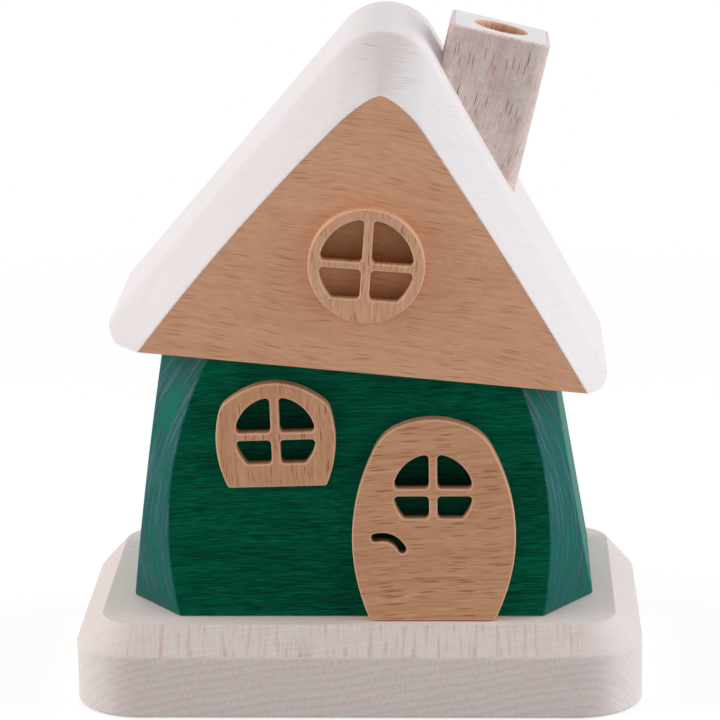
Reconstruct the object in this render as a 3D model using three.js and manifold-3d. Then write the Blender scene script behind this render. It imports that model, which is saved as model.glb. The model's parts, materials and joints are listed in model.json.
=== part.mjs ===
// A wooden incense house: a crooked little beech cottage that lifts off its base plate.
// A cone burns on the metal dish inside, and the smoke leaves through the leaning chimney.
// Millimetres, +Z up, the front looks along -Y, and the origin is the centre of the base's underside.

import * as THREE from "three";
import { mergeVertices } from "three/addons/utils/BufferGeometryUtils.js";
import Module from "manifold-3d";

const wasm = await Module();
wasm.setup();

const degrees = THREE.MathUtils.degToRad;

// Base plate
const baseWidth = 125;
const baseDepth = 78;
const baseHeight = 20;
const baseCornerRadius = 15;
const baseChamferWidth = 6;
const baseChamferHeight = 6.2;
const baseEdgeEase = 1.6;
const baseBottomEase = 0.4;

// Gaps between pieces: glued seats, the loose lift-off fit and the nail in its holes
const seatGap = 0.3;
const liftOffClearance = 0.5;
const nailGap = 0.3;

// Smoke chamber, bored up through the house and on into the roof
const chamberX = 3;
const chamberY = -1;
const chamberRadius = 17.5;
const roofChamberDepth = 20;
const airHoleRadius = 4.5;
const airHoleHeight = 11;

// Turned disc that centres the house, with the pressed dish nailed on it
const discRadius = chamberRadius - liftOffClearance;
const discRecessDepth = 5;
const discRise = 4;
const discLeadIn = 1;
const dishRadius = 13;
const dishFlare = 1.6;
const dishRimHeight = 3.2;
const dishSheet = 0.7;
const nailRadius = 0.9;
const nailPointLength = 2.2;
const nailHeadRadius = 2.3;
const nailHeadHeight = 0.9;
const nailLength = 12;

// House body: battered sides, barrelled front corners, top cut to the slope of the roof
const frontStep = 9.5;
const backStep = 10.5;
const houseFront = frontStep - baseDepth / 2;
const houseBack = baseDepth / 2 - backStep;
const houseHeight = 56.4;
const houseLeft = 50.45;
const houseRight = 51.9;
const leftBatter = degrees(7.8);
const rightBatter = degrees(9.8);
const leftCornerAngle = degrees(38);
const rightCornerAngle = degrees(35.6);
const leftBarrel = { edge: 41.2, radius: 86, height: 19 };
const rightBarrel = { edge: 42.1, radius: 103, height: 16.5 };

// Roof block, in its own frame on top of the house, which leans to the right
const roofTilt = degrees(5.6);
const ridgeX = 0.5;
const roofLeftSpan = 57.4;
const roofRightSpan = 56;
const roofRise = 81.3;
const ridgeRadius = 12.2;
const eaveRadius = 3.3;
const gableOverhang = 3.5;
const gableLeft = 46.4;
const gableRight = 49.1;
const gableRise = 62.8;
const gableBulge = 1.4;
const gableTopRadius = 5.7;
const gableCornerRadius = 0.4;
const roofFront = houseFront - gableOverhang;
const roofChamferDepth = 10;
const roofEdgeEase = 1.4;

// Dowels that pin the roof to the house
const dowelRadius = 4;
const dowelLength = 24;
const dowelSpread = 30;

// Chimney, leaning further than the roof; its top centre is measured in the roof's frame
const chimneySide = 21.8;
const chimneyEdgeRadius = 2;
const chimneyLean = degrees(8);
const chimneyTopX = 24.8;
const chimneyTopHeight = 71.3;
const flueRadius = 6;
const flueDepth = 64;

// Thin door and windows, cut from one thickness of sheet and glued on
const trimThickness = 3.3;
const paneCornerRadius = 0.9;

const gableWindow = { x: 1.0, height: 23.7, radius: 12.3, turn: degrees(-1.1) };
const gablePanes = { radius: 10.1, sill: 7.2, uprightBar: 2, crossBar: 1.6 };

const frontWindow = { x: -17.15, height: 42, bottomWidth: 21, shoulderWidth: 24, turn: degrees(-1.4) };
const frontWindowShape = { below: 11.3, shoulder: 7, crown: 4.85, sideBulge: 1.8 };
const frontWindowRounding = { bottom: 0.6, shoulder: 2 };
const frontPanes = { radius: 8.8, sill: 6.1, uprightBar: 1.9, crossBar: 1.7 };

const door = { x: 16.4, lift: 0.2, bottomWidth: 27.2, shoulderWidth: 22.8 };
const doorShape = { shoulder: 41.9, crown: 3.5, sideBulge: 5.6 };
const doorRounding = { bottom: 1.2, shoulder: 5 };
const doorPanes = { x: 0.3, height: 29.1, radius: 8.7, sill: 5.9, uprightBar: 1.8, crossBar: 1.7 };
const handle = { x: -9.3, height: 17.7, length: 6.6, rise: 1.55, width: 1.5, turn: degrees(24) };

// How far a cutting solid reaches past what it cuts
const overcut = 5;

// Facets
const roundSegments = 48;
const boreSegments = 32;
const rimSegments = 72;
const dowelSegments = 24;
const nailSegments = 16;
const cornerSteps = 8;
const curveSteps = 12;
const filletSteps = 5;
const ridgeSteps = 14;
const barrelSteps = 18;
const easeSteps = 3;

// Finishes
const finish = (color, roughness, metalness = 0) =>
  new THREE.MeshStandardMaterial({ color, roughness, metalness });
const plainBeech = () => finish(0xc49a74, 0.6);
const glazedBeech = () => finish(0xe2d8d1, 0.62);
const greenBeech = () => finish(0x0a5a3e, 0.55);
const dowelBeech = () => finish(0xcfa67c, 0.7);
const tinnedSteel = () => finish(0xb8babd, 0.35, 0.9);

// A closed solid for cutting and joining, from a geometry whose points are merged first.
function solidOf(geometry) {
  const bare = geometry.clone();
  bare.deleteAttribute("normal");
  bare.deleteAttribute("uv");
  const merged = mergeVertices(bare, 1e-4);
  return new wasm.Manifold(
    new wasm.Mesh({
      numProp: 3,
      vertProperties: merged.attributes.position.array,
      triVerts: new Uint32Array(merged.index.array),
    }),
  );
}

function geometryOf(solid) {
  const { numProp, vertProperties, triVerts } = solid.getMesh();
  const positions = new Float32Array((vertProperties.length / numProp) * 3);
  for (let i = 0; i * numProp < vertProperties.length; i++)
    positions.set(vertProperties.subarray(i * numProp, i * numProp + 3), i * 3);
  const geometry = new THREE.BufferGeometry();
  geometry.setAttribute("position", new THREE.BufferAttribute(positions, 3));
  geometry.setIndex(new THREE.BufferAttribute(triVerts, 1));
  geometry.computeVertexNormals();
  return geometry;
}

// Cuts each of the given geometries out of the body.
function cut(body, ...cutters) {
  const rest = cutters.reduce((solid, cutter) => solid.subtract(solidOf(cutter)), solidOf(body));
  return geometryOf(rest);
}

function meshOf(name, geometry, material) {
  const mesh = new THREE.Mesh(geometry, material);
  mesh.name = name;
  return mesh;
}

// The arc that rounds a corner between its two neighbours. Angles and lengths follow the corner.
function filletPoints(before, corner, after, radius, steps) {
  const toBefore = before.clone().sub(corner).normalize();
  const toAfter = after.clone().sub(corner).normalize();
  const half = Math.acos(THREE.MathUtils.clamp(toBefore.dot(toAfter), -1, 1)) / 2;
  const reach = radius / Math.tan(half);
  const toCentre = toBefore.clone().add(toAfter).normalize();
  const centre = toCentre.multiplyScalar(radius / Math.sin(half)).add(corner);
  const start = toBefore.multiplyScalar(reach).add(corner).sub(centre);
  const end = toAfter.multiplyScalar(reach).add(corner).sub(centre);
  let sweep = end.angle() - start.angle();
  if (sweep > Math.PI) sweep -= 2 * Math.PI;
  if (sweep < -Math.PI) sweep += 2 * Math.PI;
  return Array.from({ length: steps + 1 }, (_, i) =>
    start.clone().rotateAround(new THREE.Vector2(), (sweep * i) / steps).add(centre),
  );
}

// The points between two ends of an edge that swells by its bulge to the right of its run.
function swollenEdge(from, to, bulge, steps = curveSteps) {
  const outward = to.clone().sub(from).normalize();
  outward.set(outward.y, -outward.x);
  return Array.from({ length: steps - 1 }, (_, i) => {
    const t = (i + 1) / steps;
    return from.clone().lerp(to, t).addScaledVector(outward, bulge * 4 * t * (1 - t));
  });
}

// A closed outline from corners { x, y, round, bulge }: each corner is rounded by its radius, and
// the edge that follows it swells outwards by its bulge. Corners run anticlockwise.
function outlineOf(corners, steps = curveSteps) {
  const dense = corners.flatMap((corner, i) => {
    const next = corners[(i + 1) % corners.length];
    const from = new THREE.Vector2(corner.x, corner.y);
    const to = new THREE.Vector2(next.x, next.y);
    const stretch = corner.bulge ? swollenEdge(from, to, corner.bulge, steps) : [];
    return [{ point: from, radius: corner.round ?? 0 }, ...stretch.map((point) => ({ point, radius: 0 }))];
  });
  return dense.flatMap(({ point, radius }, i) => {
    const next = dense[(i + 1) % dense.length];
    return radius ? filletPoints(dense.at(i - 1).point, point, next.point, radius, filletSteps) : [point];
  });
}

// Extrudes an outline drawn as seen from the front, between two depths.
function frontExtrusion(outline, front, back, holes = []) {
  const shape = new THREE.Shape(outline);
  shape.holes = holes.map((hole) => new THREE.Path(hole));
  const geometry = new THREE.ExtrudeGeometry(shape, { depth: back - front, bevelEnabled: false });
  return geometry.rotateX(Math.PI / 2).translate(0, back, 0);
}

// A closed skin over rings of equal length, with flat ends. Each ring runs clockwise seen from
// where the rings come from, so that the skin faces out.
function loftGeometry(rings) {
  const count = rings[0].length;
  const positions = rings.flat().flatMap((p) => [p.x, p.y, p.z]);
  const index = [];
  for (let r = 0; r + 1 < rings.length; r++)
    for (let i = 0; i < count; i++) {
      const j = (i + 1) % count;
      const a = r * count + i;
      const b = r * count + j;
      index.push(a, b, a + count, b, b + count, a + count);
    }
  const capOf = (ring) => {
    const spread = new THREE.Box3().setFromPoints(ring).getSize(new THREE.Vector3());
    const level = spread.z < spread.y;
    const flat = ring.map((p) => new THREE.Vector2(p.x, level ? p.y : p.z));
    return THREE.ShapeUtils.triangulateShape(flat, []);
  };
  const last = (rings.length - 1) * count;
  const facing = (ring, [a, b, c]) =>
    new THREE.Triangle(ring[a], ring[b], ring[c]).getNormal(new THREE.Vector3());
  const along = rings.at(-1)[0].clone().sub(rings[0][0]);
  for (const t of capOf(rings[0]))
    index.push(...(facing(rings[0], t).dot(along) < 0 ? t : [t[0], t[2], t[1]]));
  for (const t of capOf(rings.at(-1)))
    index.push(...(facing(rings.at(-1), t).dot(along) > 0 ? t : [t[0], t[2], t[1]]).map((i) => i + last));
  const geometry = new THREE.BufferGeometry();
  geometry.setAttribute("position", new THREE.Float32BufferAttribute(positions, 3));
  geometry.setIndex(index);
  return geometry;
}

function verticalCylinder(radius, low, high, x = 0, y = 0, segments = roundSegments) {
  return new THREE.CylinderGeometry(radius, radius, high - low, segments)
    .rotateX(Math.PI / 2)
    .translate(x, y, (low + high) / 2);
}

// A turned piece from its profile of (radius, height) points, which starts and ends on the axis.
function turned(profile, segments = roundSegments) {
  const points = profile.map(([radius, height]) => new THREE.Vector2(radius, height));
  return new THREE.LatheGeometry(points, segments).rotateX(Math.PI / 2);
}

function roundedRectangle(width, depth, radius, steps) {
  const x = width / 2;
  const y = depth / 2;
  const corners = [
    { x: -x, y: -y },
    { x, y: -y },
    { x, y },
    { x: -x, y },
  ].map(({ x: cx, y: cy }) => new THREE.Vector2(cx, cy));
  return corners.flatMap((corner, i) =>
    filletPoints(corners.at(i - 1), corner, corners[(i + 1) % 4], radius, steps),
  );
}

// Rounds the inner corners of an open line of (inset, height) points.
function easedProfile(points, ease) {
  const line = points.map(([inset, height]) => new THREE.Vector2(inset, height));
  return line.flatMap((point, i) => {
    const isEnd = i === 0 || i === line.length - 1;
    return isEnd ? [point] : filletPoints(line[i - 1], point, line[i + 1], ease, easeSteps);
  });
}

// A bevelled slab with a recess for the disc and a hole for the nail
function makeBasePlate() {
  const shoulder = baseHeight - baseChamferHeight;
  const side = easedProfile(
    [
      [0, baseBottomEase],
      [0, shoulder],
      [baseChamferWidth, baseHeight],
      [baseChamferWidth * 2, baseHeight],
    ],
    baseEdgeEase,
  ).slice(0, -1);
  const profile = [new THREE.Vector2(baseBottomEase, 0), ...side];
  const rings = profile.map(({ x: inset, y: z }) =>
    roundedRectangle(
      baseWidth - 2 * inset,
      baseDepth - 2 * inset,
      baseCornerRadius - inset,
      cornerSteps,
    ).map((p) => new THREE.Vector3(p.x, p.y, z)),
  );
  const recess = verticalCylinder(
    discRadius + seatGap,
    baseHeight - discRecessDepth,
    baseHeight + discRise,
    chamberX,
    chamberY,
  );
  const nailHole = verticalCylinder(
    nailRadius + nailGap,
    baseHeight + discRise - nailLength - nailGap,
    baseHeight,
    chamberX,
    chamberY,
    nailSegments,
  );
  return meshOf("base_plate", cut(loftGeometry(rings), recess, nailHole), glazedBeech());
}

function makeLocatingDisc() {
  const bore = nailRadius + nailGap;
  const profile = [
    [bore, -discRecessDepth],
    [discRadius - discLeadIn / 2, -discRecessDepth],
    [discRadius, -discRecessDepth + discLeadIn / 2],
    [discRadius, discRise - discLeadIn],
    [discRadius - discLeadIn, discRise],
    [bore, discRise],
    [bore, -discRecessDepth],
  ];
  return meshOf("locating_disc", turned(profile), plainBeech());
}

function makeConeDish() {
  const bore = nailRadius + nailGap;
  const floorRadius = dishRadius - dishFlare;
  const innerBend = dishSheet / 2;
  const profile = [
    [bore, 0],
    [floorRadius - dishSheet, 0],
    [floorRadius, dishSheet],
    [dishRadius - dishSheet / 2, dishRimHeight - dishSheet],
    [dishRadius, dishRimHeight - dishSheet / 2],
    [dishRadius - dishSheet / 2, dishRimHeight],
    [dishRadius - dishSheet, dishRimHeight - dishSheet / 2],
    [floorRadius - dishSheet, dishSheet + innerBend],
    [floorRadius - dishSheet - 2 * innerBend, dishSheet],
    [bore, dishSheet],
    [bore, 0],
  ];
  return meshOf("cone_dish", turned(profile), tinnedSteel());
}

// The head is a low dome on a thin edge; heights are above the disc that the nail goes through.
function makeDishNail() {
  const edge = nailHeadHeight / 3;
  const domeSteps = 4;
  const dome = Array.from({ length: domeSteps + 1 }, (_, i) => {
    const angle = (i * Math.PI) / (2 * domeSteps);
    const height = dishSheet + edge + (nailHeadHeight - edge) * Math.sin(angle);
    return [nailHeadRadius * Math.cos(angle), height];
  });
  dome.at(-1)[0] = 0;
  const shank = [
    [0, -nailLength],
    [nailRadius, -nailLength + nailPointLength],
    [nailRadius, dishSheet],
    [nailHeadRadius, dishSheet],
  ];
  return meshOf("dish_nail", turned([...shank, ...dome], nailSegments), tinnedSteel());
}

// Everything that stays on the table when the house is lifted off
function makeBase() {
  const base = new THREE.Group();
  const burner = new THREE.Group();
  burner.position.set(chamberX, chamberY, baseHeight);
  const dish = makeConeDish();
  const nail = makeDishNail();
  dish.position.z = discRise;
  nail.position.z = discRise;
  burner.add(makeLocatingDisc(), dish, nail);
  base.add(makeBasePlate(), burner);
  return base;
}

// Height of the house's sloping top above its foot
const houseTopAt = (x) => houseHeight - seatGap - x * Math.tan(roofTilt);

// Where a battered side, leaning in by its angle from the foot, meets the sloping top
function topCornerOf(footX, batter) {
  const inward = -Math.sign(footX) * Math.tan(batter);
  const height = houseTopAt(footX) / (1 + inward * Math.tan(roofTilt));
  return { x: footX + inward * height, y: height };
}

function makeHouseBlock() {
  const outline = [
    { x: -houseLeft, y: 0 },
    { x: houseRight, y: 0 },
    topCornerOf(houseRight, rightBatter),
    topCornerOf(-houseLeft, leftBatter),
  ];
  return frontExtrusion(outlineOf(outline), houseFront - overcut, houseBack);
}

// The front corners are worked off along one slanting direction, so each is a barrel-shaped facet.
function makeCornerEnvelope() {
  const low = -overcut;
  const high = houseTopAt(-houseLeft) + overcut;
  const edgeX = ({ edge, radius, height }, z) =>
    edge - radius + Math.sqrt(radius ** 2 - (z - height) ** 2);
  const ringAt = (y) => {
    const reach = y - houseFront;
    const left = [];
    const right = [];
    for (let i = 0; i <= barrelSteps; i++) {
      const z = low + ((high - low) * i) / barrelSteps;
      left.push(new THREE.Vector3(-edgeX(leftBarrel, z) - reach * Math.tan(leftCornerAngle), y, z));
      right.push(new THREE.Vector3(edgeX(rightBarrel, z) + reach * Math.tan(rightCornerAngle), y, z));
    }
    return [...left, ...right.reverse()];
  };
  return loftGeometry([ringAt(houseFront), ringAt(houseBack + overcut)]);
}

// A dowel, or with a gap its hole, square to the joint between house and roof
function dowelGeometry(side, gap = 0) {
  const reach = dowelLength / 2 + gap;
  return verticalCylinder(dowelRadius + gap, -reach, reach, side * dowelSpread, chamberY, dowelSegments);
}

function makeHouseBody(roofFrame) {
  const block = solidOf(makeHouseBlock()).intersect(solidOf(makeCornerEnvelope()));
  const chamber = verticalCylinder(chamberRadius, -overcut, houseHeight + overcut, chamberX, chamberY);
  const airHoleLength = houseBack + overcut - chamberY;
  const airHole = new THREE.CylinderGeometry(airHoleRadius, airHoleRadius, airHoleLength, boreSegments)
    .translate(chamberX, chamberY + airHoleLength / 2, airHoleHeight);
  const dowelHoles = [-1, 1].map((side) => dowelGeometry(side, seatGap).applyMatrix4(roofFrame.matrix));
  const body = cut(geometryOf(block), chamber, airHole, ...dowelHoles);
  return meshOf("house_body", body, greenBeech());
}

// A gable-shaped outline in the roof's frame: eave, slope, ridge, slope, eave, then the flat underside.
function gableOutline(left, right, rise, cornerRadius, topRadius, bulge) {
  const origin = new THREE.Vector2(ridgeX - left, 0);
  const peak = new THREE.Vector2(ridgeX, rise);
  const far = new THREE.Vector2(ridgeX + right, 0);
  const leftCorner = filletPoints(far, origin, peak, cornerRadius, filletSteps);
  const top = filletPoints(origin, peak, far, topRadius, ridgeSteps);
  const rightCorner = filletPoints(peak, far, origin, cornerRadius, filletSteps);
  return [
    ...leftCorner,
    ...swollenEdge(leftCorner.at(-1), top[0], -bulge),
    ...top,
    ...swollenEdge(top.at(-1), rightCorner[0], -bulge),
    ...rightCorner,
  ];
}

// The flue in the chimney's frame, whose origin is the middle of the stack's top
const flueGeometry = () => verticalCylinder(flueRadius, -flueDepth, overcut, 0, 0, boreSegments);

function makeRoofBlock(chimneyFrame) {
  const gable = gableOutline(gableLeft, gableRight, gableRise, gableCornerRadius, gableTopRadius, gableBulge);
  const full = gableOutline(roofLeftSpan, roofRightSpan, roofRise, eaveRadius, ridgeRadius, 0);
  // Each station is a depth, and the share of the way that the outline has swollen from gable to full roof.
  const ease = roofEdgeEase / roofChamferDepth;
  const turnAt = (depth, inward) => [
    [depth - inward * roofEdgeEase, 1 - ease],
    [depth, 1 - ease / 4],
    [depth + inward * roofEdgeEase, 1],
  ];
  const stations = [
    [roofFront, 0],
    ...turnAt(roofFront + roofChamferDepth, 1),
    ...turnAt(houseBack - roofChamferDepth, -1).reverse(),
    [houseBack, 0],
  ];
  const rings = stations.map(([y, swell]) =>
    gable.map((p, i) => new THREE.Vector3(
      THREE.MathUtils.lerp(p.x, full[i].x, swell),
      y,
      THREE.MathUtils.lerp(p.y, full[i].y, swell),
    )),
  );
  const chamber = verticalCylinder(chamberRadius, -overcut, roofChamberDepth, chamberX, chamberY);
  const flue = flueGeometry().applyMatrix4(chimneyFrame.matrix);
  const dowelHoles = [-1, 1].map((side) => dowelGeometry(side, seatGap));
  return meshOf("roof_block", cut(loftGeometry(rings), chamber, flue, ...dowelHoles), glazedBeech());
}

// Everything below the right slope of the roof, less the glue line, in the roof's frame
function slopeCutter() {
  const up = new THREE.Vector2(-roofRightSpan, roofRise).normalize();
  const out = new THREE.Vector2(up.y, -up.x);
  const eave = new THREE.Vector2(ridgeX + roofRightSpan, 0).addScaledVector(out, seatGap);
  const low = eave.clone().addScaledVector(up, -roofRightSpan);
  const high = eave.clone().addScaledVector(up, roofRise * 2);
  const farLeft = new THREE.Vector2(-roofLeftSpan, 0);
  const outline = [low, high, farLeft.clone().setY(high.y), farLeft.clone().setY(low.y)];
  return frontExtrusion(outline, roofFront, houseBack);
}

function makeChimney(chimneyFrame) {
  const stack = new THREE.ExtrudeGeometry(
    new THREE.Shape(roundedRectangle(chimneySide, chimneySide, chimneyEdgeRadius, filletSteps)),
    { depth: flueDepth, bevelEnabled: false },
  ).translate(0, 0, -flueDepth);
  const slope = slopeCutter().applyMatrix4(chimneyFrame.matrix.clone().invert());
  return meshOf("chimney", cut(stack, flueGeometry(), slope), glazedBeech());
}

// The four panes of a round window: a circle with a flat sill, crossed by two bars
function paneOutlines({ x = 0, height = 0, radius, sill, uprightBar, crossBar }) {
  const halfUpright = uprightBar / 2;
  const halfCross = crossBar / 2;
  const arc = (from, to, steps) =>
    Array.from({ length: steps - 1 }, (_, i) => {
      const angle = from + ((to - from) * (i + 1)) / steps;
      return { x: radius * Math.cos(angle), y: radius * Math.sin(angle) };
    });
  const sharp = (px, py) => ({ x: px, y: py, round: paneCornerRadius });
  const onCircle = (across) => Math.sqrt(radius ** 2 - across ** 2);
  const upper = [
    sharp(halfUpright, halfCross),
    sharp(onCircle(halfCross), halfCross),
    ...arc(Math.asin(halfCross / radius), Math.acos(halfUpright / radius), curveSteps),
    sharp(halfUpright, onCircle(halfUpright)),
  ];
  const lower = [
    sharp(halfUpright, -halfCross),
    sharp(halfUpright, -sill),
    sharp(onCircle(sill), -sill),
    ...arc(-Math.asin(sill / radius), -Math.asin(halfCross / radius), curveSteps / 2),
    sharp(onCircle(halfCross), -halfCross),
  ];
  const mirrored = (corners) => corners.map((c) => ({ ...c, x: -c.x })).reverse();
  return [upper, lower, mirrored(upper), mirrored(lower)].map((corners) =>
    outlineOf(corners.map((c) => ({ ...c, x: c.x + x, y: c.y + height }))),
  );
}

// A shape with a flat foot, swelling sides and a crowned top, centred on x = 0.
function archedOutline({ bottomWidth, shoulderWidth }, { below = 0, shoulder, crown, sideBulge }, rounding) {
  return outlineOf([
    { x: -bottomWidth / 2, y: -below, round: rounding.bottom },
    { x: bottomWidth / 2, y: -below, round: rounding.bottom, bulge: sideBulge },
    { x: shoulderWidth / 2, y: shoulder, round: rounding.shoulder, bulge: crown },
    { x: -shoulderWidth / 2, y: shoulder, round: rounding.shoulder, bulge: sideBulge },
  ]);
}

// A drooping stroke with round ends, cut through the door as its handle
function handleSlot() {
  const half = handle.width / 2;
  const reach = handle.length / 2;
  const droop = (t) => new THREE.Vector2(reach * t, handle.rise * (1 - t * t));
  const normal = (t) => new THREE.Vector2(2 * handle.rise * t, reach).normalize();
  const centre = new THREE.Vector2();
  const edge = (sign) =>
    Array.from({ length: curveSteps + 1 }, (_, i) => {
      const t = sign * (1 - (2 * i) / curveSteps);
      return droop(t).addScaledVector(normal(t), sign * half);
    });
  const cap = (t, turn) => {
    const start = normal(t).angle() + turn;
    return Array.from({ length: filletSteps - 1 }, (_, i) => {
      const angle = start + ((i + 1) * Math.PI) / filletSteps;
      return new THREE.Vector2(half, 0).rotateAround(centre, angle).add(droop(t));
    });
  };
  return [...edge(1), ...cap(-1, 0), ...edge(-1), ...cap(1, Math.PI)].map((p) =>
    p.rotateAround(centre, -handle.turn).add(new THREE.Vector2(handle.x, handle.height)),
  );
}

// A piece of the thin sheet, standing proud of the wall behind it
function makeTrim(name, outline, holes) {
  return meshOf(name, frontExtrusion(outline, -trimThickness, 0, holes), plainBeech());
}

function makeGableWindow() {
  const circle = new THREE.Path().absarc(0, 0, gableWindow.radius, 0, 2 * Math.PI);
  const rim = circle.getPoints(rimSegments).slice(0, -1);
  const window = makeTrim("gable_window", rim, paneOutlines(gablePanes));
  window.position.set(gableWindow.x, roofFront, gableWindow.height);
  window.rotation.y = gableWindow.turn;
  return window;
}

function makeFrontWindow() {
  const outline = archedOutline(frontWindow, frontWindowShape, frontWindowRounding);
  const window = makeTrim("front_window", outline, paneOutlines(frontPanes));
  window.position.set(frontWindow.x, houseFront, frontWindow.height);
  window.rotation.y = frontWindow.turn;
  return window;
}

function makeDoor() {
  const outline = archedOutline(door, doorShape, doorRounding);
  const leaf = makeTrim("door", outline, [...paneOutlines(doorPanes), handleSlot()]);
  leaf.position.set(door.x, houseFront, door.lift);
  return leaf;
}

// Frames: the roof leans on the house, and the chimney leans a little more on the roof.
function makeHouse() {
  const house = new THREE.Group();
  house.position.z = baseHeight;
  const roof = new THREE.Group();
  roof.position.z = houseHeight;
  roof.rotation.y = roofTilt;
  roof.updateMatrix();
  const stack = new THREE.Group();
  stack.position.set(chimneyTopX, chamberY, chimneyTopHeight);
  stack.rotation.y = chimneyLean;
  stack.updateMatrix();
  stack.add(makeChimney(stack));
  const dowels = [
    meshOf("roof_dowel_left", dowelGeometry(-1), dowelBeech()),
    meshOf("roof_dowel_right", dowelGeometry(1), dowelBeech()),
  ];
  roof.add(makeRoofBlock(stack), stack, makeGableWindow(), ...dowels);
  house.add(makeHouseBody(roof), roof, makeFrontWindow(), makeDoor());
  return house;
}

const incenseHouse = new THREE.Group();
incenseHouse.add(makeBase(), makeHouse());

export default incenseHouse;
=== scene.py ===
"""A crooked wooden incense house: a beech cottage that lifts off its bevelled base plate.

A cone burns on the metal dish inside, and the smoke leaves through the leaning chimney. Every
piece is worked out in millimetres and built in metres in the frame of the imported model: +Z up,
the door looks along -Y, and the origin is the middle of the base plate's underside.
"""

import json
import logging
from dataclasses import dataclass, field
from enum import Enum
from math import acos, asin, atan2, cos, pi, radians, sin, sqrt, tan, tau
from typing import Any, Mapping, Optional, Sequence, Union

import bmesh
import bpy
from mathutils import Matrix, Vector
from mathutils.geometry import delaunay_2d_cdt, interpolate_bezier, normal

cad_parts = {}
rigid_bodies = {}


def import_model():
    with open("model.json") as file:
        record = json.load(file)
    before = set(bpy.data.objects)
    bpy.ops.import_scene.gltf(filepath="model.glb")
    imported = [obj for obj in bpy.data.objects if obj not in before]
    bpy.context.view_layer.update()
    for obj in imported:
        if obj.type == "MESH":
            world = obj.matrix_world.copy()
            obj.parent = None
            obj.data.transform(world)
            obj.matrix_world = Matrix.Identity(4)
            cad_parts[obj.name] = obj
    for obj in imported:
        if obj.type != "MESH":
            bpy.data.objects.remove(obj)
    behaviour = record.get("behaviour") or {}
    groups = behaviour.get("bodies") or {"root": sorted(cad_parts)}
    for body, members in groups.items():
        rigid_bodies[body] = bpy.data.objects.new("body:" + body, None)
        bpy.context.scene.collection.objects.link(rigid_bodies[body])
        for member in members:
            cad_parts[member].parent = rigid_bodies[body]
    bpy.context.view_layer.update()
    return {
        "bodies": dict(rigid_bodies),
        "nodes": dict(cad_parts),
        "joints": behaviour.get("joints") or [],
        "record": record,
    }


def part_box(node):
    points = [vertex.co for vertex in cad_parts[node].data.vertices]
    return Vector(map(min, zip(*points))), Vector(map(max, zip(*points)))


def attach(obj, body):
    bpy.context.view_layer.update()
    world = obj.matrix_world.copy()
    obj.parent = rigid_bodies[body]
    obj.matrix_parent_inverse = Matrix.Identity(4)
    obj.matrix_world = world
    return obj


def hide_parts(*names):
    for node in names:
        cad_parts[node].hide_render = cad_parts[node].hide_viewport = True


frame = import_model()

LOG = logging.getLogger("incense_house")
MM = 0.001  # A millimetre in metres
AXES = (Vector((1, 0, 0)), Vector((0, 1, 0)), Vector((0, 0, 1)))
UP = AXES[2]
ARRIS = "arris"  # The mesh attribute that holds the arrises' wear and their painted highlight
FINISHES = 3  # The most finishes that one piece has

WIDE_STEPS, MIDDLE_STEPS, NARROW_STEPS = 96, 48, 24  # Steps round a wide, a middling and a narrow bore
FILLET_ROOM = 1.05  # How far an edge's points give way to a rounded corner, over its rounding's reach
LEAST_FACING = 0.35  # Keeps a sharp corner from being moved too far when its outline is inset
SAME_SPOT = 1e-6  # Points that are nearer than this, in millimetres, are one

Loop = list[Vector]
Pair = tuple[float, float]
Triple = tuple[float, float, float]
Colour = tuple[float, float, float, float]
Material = bpy.types.Material
Mesh = bpy.types.Mesh
Piece = bpy.types.Object


class Body(Enum):
    """The two halves of the toy: what stays on the table, and what is lifted off."""

    BASE = "base"
    HOUSE = "house"


class Slot(Enum):
    """Names of material slots for the finishes, which seat() takes but does not apply."""

    GLAZED_BASE = "white_glazed_beech"
    GLAZED_ROOF = "white_glazed_roof"
    GLAZED_CHIMNEY = "white_glazed_chimney"
    BARE = "natural_beech"
    GREEN = "green_stained_beech"
    DOWEL = "dowel_beech"
    TIN = "tinned_steel"


def paint(red: int, green: int, blue: int) -> Colour:
    """Turns a colour as it looks on screen into the linear one that shaders take.

    Args:
        red: Red, from 0 to 255.
        green: Green, from 0 to 255.
        blue: Blue, from 0 to 255.

    Returns:
        The linear colour with an alpha of 1.
    """
    def linear(level: int) -> float:
        """One channel made linear."""
        share = level / 255
        return share / 12.92 if share <= 0.04045 else ((share + 0.055) / 1.055) ** 2.4

    return linear(red), linear(green), linear(blue), 1.0


# Outlines: plane curves in millimetres, drawn as seen from the front


@dataclass(frozen=True)
class Corner:
    """A corner of an outline."""

    x: float  # Place across
    y: float  # Place up
    radius: float = 0.0  # How much the corner is rounded
    bulge: float = 0.0  # How far the edge that follows swells outwards at its middle


def turned_by(point: Vector, angle: float) -> Vector:
    """A plane point turned anticlockwise about the origin by an angle in radians."""
    across, up = cos(angle), sin(angle)
    return Vector((point.x * across - point.y * up, point.x * up + point.y * across))


def fillet(before: Vector, corner: Vector, after: Vector, radius: float, steps: int) -> Loop:
    """Works out the arc that rounds a corner.

    Args:
        before: The point before the corner.
        corner: The sharp corner.
        after: The point after it.
        radius: The arc's radius.
        steps: The number of straight steps in the arc.

    Returns:
        The points of the arc, from the side of before to the side of after.
    """
    to_before = (before - corner).normalized()
    to_after = (after - corner).normalized()
    half = to_before.angle(to_after) / 2
    reach = radius / tan(half)
    centre = corner + (to_before + to_after).normalized() * (radius / sin(half))
    start = corner + to_before * reach - centre
    sweep = -start.angle_signed(corner + to_after * reach - centre)
    return [centre + turned_by(start, sweep * i / steps) for i in range(steps + 1)]


def swell(start: Vector, end: Vector, bulge: float, steps: int) -> Loop:
    """Works out the inner points of an edge that swells to the right of its run.

    Args:
        start: Where the edge starts.
        end: Where it ends.
        bulge: How far it stands out at its middle.
        steps: The number of straight steps along it.

    Returns:
        The points between the two ends.
    """
    run = (end - start).normalized()
    outward = Vector((run.y, -run.x))
    shares = [i / steps for i in range(1, steps)]
    return [start.lerp(end, t) + outward * (4 * bulge * t * (1 - t)) for t in shares]


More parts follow.
